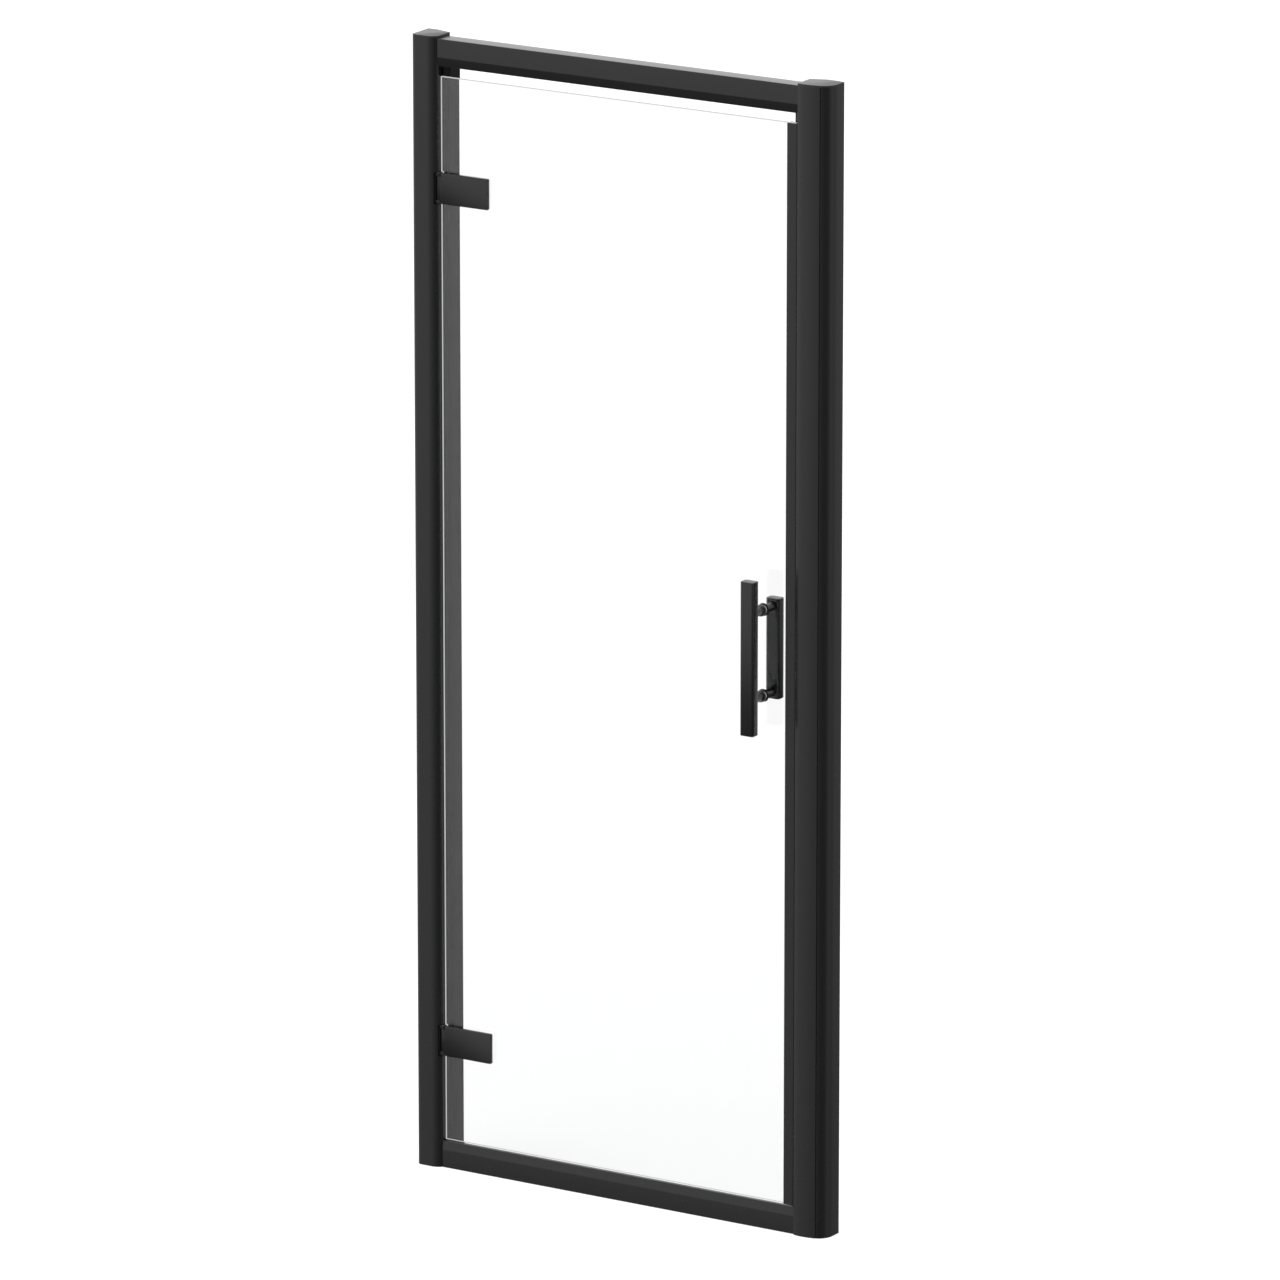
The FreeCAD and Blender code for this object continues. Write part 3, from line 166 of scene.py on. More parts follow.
# What the black coat mirrors of the studio. A patch is an azimuth, the cosines between which
# it fades out, and its level; a fall is two heights of a direction and the shares there. The
# low part turns into the high one between the two heights of the horizon.
LOW_PATCHES = ((305, 0.89, 0.5, 0.45), (320, 0.985, 0.72, 0.08), (62, 0.87, 0.33, 0.46))
LOW_FALL = ((-0.85, -0.55, 30, 1), (-0.42, -0.22, 0.02, 1), (-0.27, -0.06, 1.14, 1.42))
HIGH_PATCHES = ((122, 0.9, 0.2, 2.0),)
HORIZON = (-0.03, 0.1)
FLOOR_ROUGHNESS = 0.9
LAMP_WIDTH = math.radians(50)
LAMP_PLACE = (-0.35, -0.5, 1)
SENSOR_WIDTH = 36
FARTHEST_SEEN = 200


# Sizes and colours that a user may change.


def number(name, default, description, **more):
    return bpy.props.FloatProperty(name=name, description=description, default=default, **more)


def length(name, millimetres, description):
    size = millimetres * MM
    return number(name, size, description, unit="LENGTH", subtype="DISTANCE", precision=5)


def share(name, default, description):
    return number(name, default, description, min=0, max=1, subtype="FACTOR")


def colour(name, red_green_blue, description):
    return bpy.props.FloatVectorProperty(
        name=name,
        description=description,
        default=(*red_green_blue, 1),
        size=4,
        min=0,
        max=1,
        subtype="COLOR",
    )


class PostSizes(bpy.types.PropertyGroup):
    wall: length("Wall", 1.6, "Thickness of every extruded wall")
    ease: length("Eased edge", 0.35, "Rounding of an extrusion's long edges")
    cap_ease: length("Cap edge", 0.5, "Rounding round the top of a post cap")
    hinge_width: length("Hinge post width", 45.5, "Width of the hinge-side post")
    hinge_crown: length("Hinge post crown", 4.3, "How far its front face stands forward")
    hinge_crown_start: length("Crown start", 8, "Where the flat of the crown starts")
    hinge_crown_end: length("Crown end", 28, "Where the flat of the crown ends")
    hinge_shoulder_x: length("Shoulder", 40.9, "Where the slope meets the inner corner")
    hinge_shoulder_rise: length("Shoulder rise", 0.5, "Forward place of the shoulder")
    hinge_corner_radius: length("Inner corner", 12.1, "Radius of the inner front corner")
    hinge_corner_depth: length("Corner depth", 5, "Where the inner side starts")
    hinge_side_depth: length("Side depth", 40, "Where the inner side ends")
    hinge_back_x: length("Back flat", 16.5, "Width of the flat at the back")
    hinge_back_depth: length("Back depth", 47.5, "Depth of the hinge-side post")
    notch_x: length("Notch start", 39.5, "Where the cut for a hinge starts")
    notch_depth: length("Notch depth", 12.5, "How far back the cut for a hinge goes")
    notch_half: length("Notch half height", 26.5, "Half the height of the cut for a hinge")
    strike_width: length("Strike post width", 41, "Width of the strike-side post")
    strike_reveal: length("Channel reveal", 17.5, "Width of wall channel left showing")
    strike_edge_depth: length("Edge depth", 1.9, "Where the strike post's side starts")
    strike_edge_run: length("Edge run", 0.9, "Width of its rounded inner corner")
    strike_edge_front: length("Edge front", 0.5, "Forward place of that corner")
    strike_edge_radius: length("Edge radius", 1.5, "Radius of that corner")
    strike_crown: length("Strike crown", 2.1, "How far the strike post stands forward")
    strike_crown_run: length("Strike crown place", 14.5, "Where it stands furthest forward")
    strike_front_end: length("Strike front end", 1, "Where its outer edge lies")
    strike_side_depth: length("Strike side depth", 39, "Where its inner side ends")
    strike_back_run: length("Strike back run", 26.5, "Width of its slanted back")
    strike_back_depth: length("Strike back depth", 49.3, "Depth of the strike-side post")


class ChannelSizes(bpy.types.PropertyGroup):
    hinge_front: length("Hinge channel front", 2.4, "Front of the hinge-side wall channel")
    hinge_back: length("Hinge channel back", 44.8, "Back of the hinge-side wall channel")
    hinge_flange: length("Hinge channel flange", 19, "Width of its flanges")
    strike_front: length("Strike channel front", 3, "Front of the strike-side channel")
    strike_back: length("Strike channel back", 47, "Back of the strike-side channel")
    strike_flange: length("Strike channel flange", 30, "Width of its flanges")
    nose_radius: length("Nose radius", 26, "Radius of its rounded front")
    nose_run: length("Nose run", 16.7, "Width of its rounded front")
    nose_front: length("Nose front", 1.7, "Forward place of its rounded front")
    nose_depth: length("Nose depth", 26, "Where its flat side starts")


class RailSizes(bpy.types.PropertyGroup):
    front: length("Front", 2.2, "Front of a rail")
    back: length("Back", 31.2, "Back of a rail")
    face: length("Face", 30.5, "Height of a rail's face")
    edge: length("Edge radius", 0.8, "Radius of a rail's outer edges")
    lip_front: length("Lip front", 4.4, "Front of the lip's edge")
    lip_back: length("Lip back", 12.2, "Back of the lip")
    lip_height: length("Lip height", 14.8, "Height of the lip above the face")


class StopSizes(bpy.types.PropertyGroup):
    back: length("Back", 48, "Back of both stops")
    flange: length("Flange", 10, "Width of the flange on the post")
    edge: length("Edge radius", 1.5, "Radius of a stop's outer edges")
    hinge_width: length("Hinge stop width", 14.5, "How far the hinge stop stands out")
    hinge_front: length("Hinge stop front", 17.5, "Front of the hinge stop")
    strike_width: length("Strike stop width", 15.5, "How far the strike stop stands out")
    strike_front: length("Strike stop front", 20.8, "Front of the strike stop")
    strip_inset: length("Strip inset", 1, "Gap between a strip and its post")
    seal_width: length("Seal width", 12.5, "Width of the seal's base")
    seal_base: length("Seal base", 1.2, "Thickness of the seal's base")
    seal_bead_inset: length("Seal bead inset", 2, "Step from base to bead")
    seal_bead: length("Seal bead radius", 1.2, "Radius of the bead's edges")
    seal_gap: length("Seal gap", 0.4, "Gap between the closed glass and the bead")
    magnet_width: length("Magnet width", 13.5, "Width of the magnet strip")
    magnet: length("Magnet thickness", 1.7, "Thickness of the magnet strip")
    magnet_edge: length("Magnet edge", 0.5, "Radius of a magnet strip's edges")


class LeafSizes(bpy.types.PropertyGroup):
    arris: length("Arris", 0.6, "Ground edge of the glass")
    notch_x: length("Notch", 50.5, "Where the glass starts beside a hinge")
    notch_half: length("Notch half height", 26.4, "Half the height of that notch")
    hole: length("Hole radius", 7, "Radius of the holes in the glass")
    closing_front_radius: length("Front radius", 2.5, "Closing profile's outer front edge")
    closing_back_radius: length("Back radius", 1.5, "Its outer back edge")
    closing_inner_radius: length("Inner radius", 0.6, "Its edges on the glass")
    closing_cap: length("End cap", 1.5, "Thickness of an end cap")
    liner: length("Liner", 0.8, "Thickness of the soft liner in its slot")
    liner_inset: length("Liner inset", 0.5, "How far the liner is set back")
    magnet_width: length("Magnet width", 11, "Width of the door's magnet strip")
    magnet: length("Magnet thickness", 1.6, "Thickness of the door's magnet strip")
    magnet_inset: length("Magnet inset", 1.8, "Distance from the profile's outer edge")


class HingeSizes(bpy.types.PropertyGroup):
    half: length("Half height", 25.5, "Half the height of a hinge")
    plate_start: length("Plate start", 49.9, "Inner edge of the front plate")
    plate_end: length("Plate end", 140, "Outer edge of the front plate")
    plate_front: length("Plate front", 3, "Front of the front plate")
    plate: length("Plate", 4.5, "Thickness of the front plate")
    corner: length("Corner", 2.5, "Radius of the plates' corners")
    edge: length("Plate edge", 0.5, "Rounding round a plate's face")
    back_start: length("Back plate start", 62, "Inner edge of the back plate")
    back_end: length("Back plate end", 131, "Outer edge of the back plate")
    back_half: length("Back half height", 19, "Half the height of the back plate")
    back_front: length("Back plate front", 14.5, "Front of the back plate")
    back: length("Back plate", 4, "Thickness of the back plate")
    first_clamp: length("First clamp", 78, "Place of the first clamp screw")
    second_clamp: length("Second clamp", 116, "Place of the second clamp screw")
    clamp_head: length("Clamp head", 4.5, "Radius of a clamp screw's head")
    clamp_seat: length("Clamp seat", 15.9, "Where a clamp screw's head sits")
    clamp_height: length("Clamp head height", 2.5, "Height of a clamp screw's head")
    pivot_x: length("Pivot", 45, "Distance of the pivot from the wall")
    pivot_y: length("Pivot depth", 7.1, "Distance of the pivot from the front line")
    pin: length("Pin", 2.5, "Radius of the pin")
    knuckle: length("Knuckle", 4.1, "Radius of the knuckle")
    knuckle_half: length("Knuckle half", 19.1, "Half the height of the knuckle")
    bore: length("Knuckle bore", 3.03, "Radius of the knuckle's bore")
    lug: length("Lug", 5.5, "Height of a bracket's lug")
    web_x: length("Web", 36.9, "Inner face of the bracket's web")
    bracket: length("Bracket", 3, "Thickness of the bracket")
    flange_front: length("Flange front", 14.5, "Where the bracket's flange starts")
    flange_back: length("Flange back", 37, "Where the bracket's flange ends")
    screw_depth: length("Screw depth", 28, "Depth of the bracket's screws")
    screw_rise: length("Screw rise", 14, "Height of the bracket's screws off its middle")
    screw_head: length("Screw head", 4.3, "Radius of the bracket screws' heads")
    screw_height: length("Screw head height", 2.6, "Height of those heads")
    screw_shank: length("Screw shank", 2.4, "Radius of the bracket screws' shanks")
    screw_length: length("Screw length", 6, "Length of the bracket screws' shanks")


class HandleSizes(bpy.types.PropertyGroup):
    width: length("Bar width", 25, "Width of both bars")
    depth: length("Bar depth", 18, "Depth of both bars")
    corner: length("Bar corner", 4, "Radius of the bars' long edges")
    end_edge: length("Bar end", 0.8, "Rounding round the bars' ends")
    reach: length("Reach", 50, "From the middle of the glass to a bar's outer face")
    front_length: length("Front bar", 254, "Length of the outside bar")
    back_length: length("Back bar", 166, "Length of the inside bar")
    spacing: length("Standoff spacing", 142, "Distance between the standoffs")
    neck: length("Neck", 7.2, "Radius of the standoffs' necks")
    ball: length("Ball", 9.7, "Radius of the ball-shaped foot of an outside standoff")
    ball_seat: length("Ball seat", 1.7, "From a ball's middle to its washer")
    flange: length("Flange", 10.6, "Radius of the flat foot of an inside standoff")
    flange_length: length("Flange length", 2, "Length of that foot")
    washer: length("Washer", 0.8, "Thickness of the clear washers")
    washer_inset: length("Washer inset", 0.4, "How far a washer lies inside its foot")
    bore: length("Bore", 4.2, "Radius of the bore for the studs")
    stud: length("Stud", 4, "Radius of the studs")
    grub_hole: length("Grub screw hole", 1.95, "Radius of the hole under an inside neck")
    grub_place: length("Grub screw place", 6, "Distance of that hole from the bar")
    turned_edge: length("Turned edge", 0.5, "Rounding of turned edges")


class ScrewSizes(bpy.types.PropertyGroup):
    cap_radius: length("Cap radius", 6, "Radius of a screw cap")
    cap_height: length("Cap height", 3.4, "Height of a screw cap")
    cap_wall: length("Cap wall", 1, "Thickness of a screw cap")
    cap_edge: length("Cap edge", 0.9, "Rounding of a screw cap's edge")
    adjusting_inset: length("Inset", 300, "Distance of the end screws from the posts' ends")
    hinge_x: length("Hinge side place", 8, "Place of the hinge post's screws")
    strike_run: length("Strike side place", 7.5, "Distance from the strike post's edge")
    socket_depth: length("Socket depth", 1.6, "Depth of a hexagon socket")
    socket: share("Socket width", 0.55, "Socket's width as a share of the head's")


class Finishes(bpy.types.PropertyGroup):
    coat: colour("Powder coat", (0.0078, 0.0078, 0.0082), "Satin black coat of the extrusions")
    hardware: colour("Hardware", (0.0072, 0.0072, 0.0076), "Satin black coat of hinges and handle")
    plastic: colour("Caps", (0.01, 0.01, 0.0104), "Black moulded caps and bushes")
    rubber: colour("Rubber", (0.009, 0.009, 0.009), "Seal and gaskets")
    magnet: colour("Magnet strips", (0.02, 0.02, 0.021), "Black magnet strips")
    glass: colour("Glass", (0.858, 0.862, 0.861), "Tint of the clear glass")
    ground: colour("Ground edge", (0.05, 0.052, 0.051), "The glass's ground edges")
    # The ground edges get a painted glow: an emission that stands in for the light the pane carries
    # to its edges.
    painted_edge_glow: colour("Painted edge glow", (0.97, 1.0, 0.99), "Colour of the glow painted on the ground edges")
    painted_edge_glow_strength: share("Ground edge glow", 0.53, "Strength of the glow painted on them")
    washer: colour("Clear washers", (0.45, 0.455, 0.455), "Clear soft washers")
    nylon: colour("Nylon", (0.74, 0.73, 0.7), "White sleeves in the glass")
    steel: colour("Steel", (0.56, 0.56, 0.57), "Screws, pins and studs")
    blackened: colour("Blackened steel", (0.03, 0.03, 0.032), "Brackets in the posts")


class StudioSettings(bpy.types.PropertyGroup):
    floor: colour("Floor", (0.38, 0.38, 0.38), "What the studio floor gives back of its light")
    floor_glow: number("Floor glow", 0.78, "Light that comes up through the floor")
    floor_reach: number(
        "Floor reach",
        45,
        "How far the floor runs from the door",
        unit="LENGTH",
        subtype="DISTANCE",
    )
    lens: number("Lens", 308.39, "Focal length in millimetres")
    azimuth: number(
        "Azimuth",
        math.radians(31.709),
        "How far the camera stands round to the strike side",
        subtype="ANGLE",
    )
    pitch: number("Pitch", math.radians(15.108), "How far the camera looks down", subtype="ANGLE")
    camera: bpy.props.FloatVectorProperty(
        name="Camera",
        description="Place of the camera",
        default=(8.9742, -14.4716, 5.5424),
        size=3,
        unit="LENGTH",
        subtype="XYZ",
    )
    sun: number("Top light", 1.1, "Strength of the light from above")
    room: number("Room light", 0.88, "Strength of the soft light all round")


class ShowerDoorSettings(bpy.types.PropertyGroup):
    posts: bpy.props.PointerProperty(name="Posts", type=PostSizes)
    channels: bpy.props.PointerProperty(name="Channels", type=ChannelSizes)
    rails: bpy.props.PointerProperty(name="Rails", type=RailSizes)
    stops: bpy.props.PointerProperty(name="Stops", type=StopSizes)
    leaf: bpy.props.PointerProperty(name="Leaf", type=LeafSizes)
    hinges: bpy.props.PointerProperty(name="Hinges", type=HingeSizes)
    handle: bpy.props.PointerProperty(name="Handle", type=HandleSizes)
    screws: bpy.props.PointerProperty(name="Screws", type=ScrewSizes)
    finishes: bpy.props.PointerProperty(name="Finishes", type=Finishes)
    studio: bpy.props.PointerProperty(name="Studio", type=StudioSettings)


# Outlines.


def tangent_radius(run, rise):
    """Radius of an arc that starts level and rises by rise over run."""
    return (run * run + rise * rise) / (2 * rise)


def arc(start, end, radius):
    """Points after start up to end, on an arc that turns left where its radius is above zero."""
    chord = end - start
    rise = math.sqrt(max(radius**2 - (chord.length / 2) ** 2, 0))
    side = Vector((-chord.y, chord.x)).normalized() * math.copysign(rise, radius)
    centre = (start + end) / 2 + side
    spoke = start - centre
    first = math.atan2(spoke.y, spoke.x)
    spoke = end - centre
    sweep = math.atan2(spoke.y, spoke.x) - first
    sweep = sweep % math.tau if radius > 0 else -(-sweep % math.tau)
    steps = max(LEAST_STEPS, math.ceil(abs(sweep) / ARC_STEP))
    turns = [first + sweep * step / steps for step in range(1, steps)]
    return [centre + Vector((math.cos(t), math.sin(t))) * abs(radius) for t in turns] + [end]


def outline(corners):
    """Closed loop. A corner's third value is the radius of the arc to the next corner."""
    points = []
    for corner, following in zip(corners, corners[1:] + corners[:1]):
        start = Vector(corner[:2])
        points.append(start)
        if len(corner) > 2:
            points += arc(start, Vector(following[:2]), corner[2])[:-1]
    return points


def eased(points, radius):
    """The loop with its sharp corners rounded."""
    rounded = []
    for place, corner in enumerate(points):
        before = points[place - 1] - corner
        after = points[(place + 1) % len(points)] - corner
        turn = math.pi - before.angle(after)
        if turn < SHARP_TURN:
            rounded.append(corner)
            continue
        slope = math.tan(turn / 2)
        cut = min(radius * slope, before.length * LONGEST_CUT, after.length * LONGEST_CUT)
        start = corner + before.normalized() * cut
        end = corner + after.normalized() * cut
        left = after.x * before.y - after.y * before.x
        rounded += [start] + arc(start, end, math.copysign(cut / slope, left))
    return rounded


def circle(x, y, radius, steps=CIRCLE_STEPS):
    turns = [math.tau * step / steps for step in range(steps)]
    return [Vector((x + radius * math.cos(t), y + radius * math.sin(t))) for t in turns]


def box_outline(left, right, low, high, radius=0):
    corners = [Vector(p) for p in ((left, low), (right, low), (right, high), (left, high))]
    return eased(corners, radius) if radius else corners


def rounded_levels(low, high, low_edge=0.0, high_edge=0.0, steps=RIM_STEPS):
    """Levels of a solid between two ends, each with a rounded rim: (place, inset)."""

    def rim(end, edge, way):
        first = 0 if edge else steps
        turns = [math.pi / 2 * step / steps for step in range(first, steps + 1)]
        return [(end + way * edge * (1 - math.cos(t)), edge * (1 - math.sin(t))) for t in turns]

    return rim(low, low_edge, 1) + rim(high, high_edge, -1)[::-1]


# Meshes.


def signed_area(points):
    return sum(a.x * b.y - a.y * b.x for a, b in zip(points, points[1:] + points[:1])) / 2


def inset(points, distance):
    """The loop moved to its left by distance."""
    if not distance:
        return points
    moved = []
    for place, corner in enumerate(points):
        before = (corner - points[place - 1]).normalized()
        after = (points[(place + 1) % len(points)] - corner).normalized()
        across = Vector((-before.y, before.x))
        middle = (across + Vector((-after.y, after.x))).normalized()
        moved.append(corner + middle * distance / max(middle.dot(across), TIGHTEST_MITRE))
    return moved


def to_axis(axis, point, place):
    """A flat point at a place along an axis: X takes (y, z), Y takes (x, z), Z takes (x, y)."""
    if axis == "X":
        return (place, point.x, point.y)
    if axis == "Y":
        return (point.x, place, point.y)
    return (point.x, point.y, place)


def add_ring(mesh, points, axis, place):
    return [mesh.verts.new(to_axis(axis, point, place)) for point in points]


def add_band(mesh, low, high):
    """Faces between two rings, or between a ring and a single point."""
    count = max(len(low), len(high))
    for place in range(count if count > 1 else 0):
        following = (place + 1) % count
        corners = [low[place % len(low)], low[following % len(low)]]
        corners += [high[following % len(high)], high[place % len(high)]]
        mesh.faces.new(list(dict.fromkeys(corners)))


def add_end(mesh, loops):
    """A flat end with one outer loop and any holes."""
    if len(loops) == 1:
        mesh.faces.new(loops[0])
        return
    corners = [corner for loop in loops for corner in loop]
    for triangle in geometry.tessellate_polygon([[c.co for c in loop] for loop in loops]):
        mesh.faces.new([corners[place] for place in triangle])


def add_solid(mesh, loops, levels, axis="Z"):
    """Adds a closed solid with one outer loop and holes, through levels along an axis."""
    turned = []
    for order, loop in enumerate(loops):
        against = (signed_area(loop) < 0) == (order == 0)
        turned.append(loop[::-1] if against else loop)
    rings = [
        [add_ring(mesh, inset(loop, depth), axis, place) for loop in turned]
        for place, depth in levels
    ]
    for low, high in zip(rings, rings[1:]):
        for lower, upper in zip(low, high):
            add_band(mesh, lower, upper)
    add_end(mesh, rings[0])
    add_end(mesh, rings[-1])


def add_turned(mesh, profile, centre, axis, closed=False):
    """Adds a turned solid. The profile holds (radius, place) pairs; closed is for a ring."""
    rings = [
        add_ring(mesh, circle(*centre, radius, TURNED_STEPS if radius > 0 else 1), axis, place)
        for radius, place in profile
    ]
    for low, high in zip(rings, rings[1:] + (rings[:1] if closed else [])):
        add_band(mesh, low, high)
    if not closed:
        for ring in (rings[0], rings[-1]):
            if len(ring) > 1:
                mesh.faces.new(ring)


def turned_rod(low, high, radius, low_edge, high_edge):
    """Profile of a rod with rounded rims."""
    levels = rounded_levels(low, high, low_edge, high_edge)
    return [(radius - depth, place) for place, depth in levels]


def add_socket_head(mesh, axis, top, radius, socket, depth, edge):
    """Adds a screw head with a hexagon socket in its top, from its seat at zero."""
    half = edge * HALF_ROUNDED
    rim = [(0, radius), (top - edge, radius), (top - half, radius - half), (top, radius - edge)]
    rings = [add_ring(mesh, circle(0, 0, size), axis, place) for place, size in rim]
    hexagon = circle(0, 0, socket, HEXAGON)
    mouth, floor = (add_ring(mesh, hexagon, axis, place) for place in (top, top - depth))
    for low, high in list(zip(rings, rings[1:])) + [(mouth, floor)]:
        add_band(mesh, low, high)
    add_end(mesh, rings[:1])
    add_end(mesh, [floor])
    add_end(mesh, [rings[-1], mouth[::-1]])


def new_object(name, data):
    piece = bpy.data.objects.new(name, data)
    bpy.context.scene.collection.objects.link(piece)
    return piece


def mesh_of(name, draw):
    """The mesh that a drawing function makes."""
    mesh = bmesh.new()
    draw(mesh)
    bmesh.ops.recalc_face_normals(mesh, faces=mesh.faces)
    data = bpy.data.meshes.new(name)
    mesh.to_mesh(data)
    mesh.free()
    return data


def turned_part(name, *profiles):
    """A part of ring-shaped turned solids about the Y axis."""

    def draw(mesh):
        for profile in profiles:
            add_turned(mesh, profile, (0, 0), "Y", closed=True)

    return mesh_of(name, draw)


def clean(data, crisp):
    """Merges doubles, points faces outwards and smooths all but the crisp edges."""
    mesh = bmesh.new()
    mesh.from_mesh(data)
    bmesh.ops.remove_doubles(mesh, verts=mesh.verts, dist=MERGED)
    bmesh.ops.recalc_face_normals(mesh, faces=mesh.faces)
    for face in mesh.faces:
        face.smooth = True
    for edge in mesh.edges:
        if len(edge.link_faces) == 2:
            edge.smooth = edge.calc_face_angle(0) < crisp
    mesh.to_mesh(data)
    mesh.free()


def finish_piece(data, node, finish, crisp=CRISP):
    """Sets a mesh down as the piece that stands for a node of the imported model."""
    name = f"fine_{node}"
    data.name = name
    data.materials.clear()
    data.materials.append(bpy.data.materials[finish])
    data.transform(PLACE)
    clean(data, crisp)
    piece = new_object(name, data)
    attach(piece, frame["nodes"][node]["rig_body"])
    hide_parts(node)
    return piece


def solid_piece(node, finish, *solids):
    """Solids in place of a node. Each holds its loops, its levels and its axis unless Z."""

    def draw(mesh):
        for solid in solids:
            add_solid(mesh, *solid)

    return finish_piece(mesh_of(node, draw), node, finish)


# Node trees.


def add_socket(tree, name, kind, way="INPUT", **settings):
    socket = tree.interface.new_socket(name=name, in_out=way, socket_type=kind)
    for key, value in settings.items():
        setattr(socket, key, value)


def add_node(tree, kind, inputs=None, **settings):
    """A node with its settings; an input takes a plain value or another node's output."""
    node = tree.nodes.new(kind)
    for key, value in settings.items():
        setattr(node, key, value)
    for place, value in (inputs or {}).items():
        if isinstance(value, bpy.types.NodeSocket):
            tree.links.new(value, node.inputs[place])
        else:
            node.inputs[place].default_value = value
    return node


def result_of(tree, kind, inputs=None, result=0, **settings):
    """The output of a new node."""
    return add_node(tree, kind, inputs, **settings).outputs[result]


def worked_out(tree, operation, *values):
    inputs = dict(enumerate(values))
    return result_of(tree, "ShaderNodeMath", inputs, operation=operation)


def combined(tree, x=0.0, y=0.0, z=0.0):
    return result_of(tree, "ShaderNodeCombineXYZ", {"X": x, "Y": y, "Z": z})


def new_tree(name, lengths=(), others=()):
    """A geometry tree with named inputs, and what its input node gives."""
    tree = bpy.data.node_groups.new(name, "GeometryNodeTree")
    add_socket(tree, "Geometry", "NodeSocketGeometry")
    add_socket(tree, "Geometry", "NodeSocketGeometry", "OUTPUT")
    for size in lengths:
        add_socket(tree, size, "NodeSocketFloat", subtype="DISTANCE")
    for other, kind in others:
        add_socket(tree, other, kind)
    add_socket(tree, "Finish", "NodeSocketMaterial")
    return tree, add_node(tree, "NodeGroupInput").outputs


def end_tree(tree, entry, result):
    """Ends a tree in real geometry with its finish."""
    real = result_of(tree, "GeometryNodeRealizeInstances", {0: result})
    painted = {"Geometry": real, "Material": entry["Finish"]}
    add_node(tree, "NodeGroupOutput", {0: result_of(tree, "GeometryNodeSetMaterial", painted)})
    return tree


def extrusion_tree():
    """Fills a drawn section and extrudes it, then turns it to its axis."""
    others = (("Turn", "NodeSocketVector"),)
    tree, entry = new_tree("Extruded section", ("Start", "Length"), others)
    loops = result_of(tree, "GeometryNodeMeshToCurve", {"Mesh": entry["Geometry"]})
    fill = result_of(tree, "GeometryNodeFillCurve", {"Curve": loops}, mode="TRIANGLES")
    run = combined(tree, z=entry["Length"])
    swept = {"Mesh": fill, "Offset": run, "Individual": False}
    sides = result_of(tree, "GeometryNodeExtrudeMesh", swept)
    foot = result_of(tree, "GeometryNodeFlipFaces", {0: fill})
    both = add_node(tree, "GeometryNodeJoinGeometry", {0: foot})
    tree.links.new(sides, both.inputs[0])
    loose = {"Geometry": both.outputs[0], "Distance": MERGED_SECTION}
    merged = result_of(tree, "GeometryNodeMergeByDistance", loose)
    lift = {"Geometry": merged, "Translation": combined(tree, z=entry["Start"])}
    turn = {"Geometry": result_of(tree, "GeometryNodeTransform", lift), "Rotation": entry["Turn"]}
    return end_tree(tree, entry, result_of(tree, "GeometryNodeTransform", turn))


def notched_tree(extrusion):
    """An extruded post with two cuts for the hinges in its inner front corner."""
    cuts = ("Cut start", "Cut depth", "Cut half height", "Lower hinge", "Upper hinge", "Overrun")
    tree, entry = new_tree("Notched post", ("Start", "Length") + cuts)
    taken = {name: entry[name] for name in ("Geometry", "Start", "Length", "Finish")}
    post = result_of(tree, "GeometryNodeGroup", taken, node_tree=extrusion)
    width = worked_out(tree, "MULTIPLY", entry["Overrun"], 2)
    depth = worked_out(tree, "ADD", entry["Cut depth"], entry["Overrun"])
    height = worked_out(tree, "MULTIPLY", entry["Cut half height"], 2)
    middle_x = worked_out(tree, "ADD", entry["Cut start"], entry["Overrun"])
    half_depth = worked_out(tree, "MULTIPLY", depth, 0.5)
    middle_y = worked_out(tree, "SUBTRACT", entry["Cut depth"], half_depth)
    cutter = result_of(tree, "GeometryNodeMeshCube", {"Size": combined(tree, width, depth, height)})
    cut = add_node(tree, "GeometryNodeMeshBoolean", {"Mesh 1": post}, operation="DIFFERENCE")
    for name in ("Lower hinge", "Upper hinge"):
        place = combined(tree, middle_x, middle_y, entry[name])
        moved = {"Geometry": cutter, "Translation": place}
        tree.links.new(result_of(tree, "GeometryNodeTransform", moved), cut.inputs["Mesh 2"])
    return end_tree(tree, entry, cut.outputs["Mesh"])


def part_tree(name, given):
    """A tree with a part as one of its inputs, and that part's geometry."""
    tree, entry = new_tree(name, others=((given, "NodeSocketObject"),))
    part = result_of(tree, "GeometryNodeObjectInfo", {"Object": entry[given]}, "Geometry")
    return tree, entry, part


def row_tree():
    """Sets one turned part on every marked place."""
    tree, entry, part = part_tree("Parts in a row", "Part")
    places = result_of(tree, "GeometryNodeMeshToPoints", {"Mesh": entry["Geometry"]})
    copies = {"Points": places, "Instance": part}
    return end_tree(tree, entry, result_of(tree, "GeometryNodeInstanceOnPoints", copies))


def drilled_tree():
    """Cuts the shape of one part out of another."""
    tree, entry, drill = part_tree("Drilled part", "Drill")
    solids = {"Mesh 1": entry["Geometry"], "Mesh 2": drill}
    cut = result_of(tree, "GeometryNodeMeshBoolean", solids, operation="DIFFERENCE")
    return end_tree(tree, entry, cut)


def tree_named(name):
    if name not in bpy.data.node_groups:
        notched_tree(extrusion_tree())
        row_tree()
        drilled_tree()
    return bpy.data.node_groups[name]


def grown_mesh(start, tree_name, finish, **values):
    """The plain mesh that a tree makes from a drawn start and its named inputs."""
    values["Finish"] = bpy.data.materials[finish]
    tree = tree_named(tree_name)
    holder = new_object("holder", start)
    modifier = holder.modifiers.new("Build", "NODES")
    modifier.node_group = tree
    for socket in tree.interface.items_tree:
        if socket.in_out == "INPUT" and socket.name in values:
            modifier[socket.identifier] = values[socket.name]
    bpy.context.view_layer.update()
    graph = bpy.context.evaluated_depsgraph_get()
    data = bpy.data.meshes.new_from_object(holder.evaluated_get(graph))
    holder.modifiers.remove(modifier)
    bpy.data.objects.remove(holder)
    if not data.polygons:
        raise RuntimeError(f"{tree.name} made no faces")
    return data


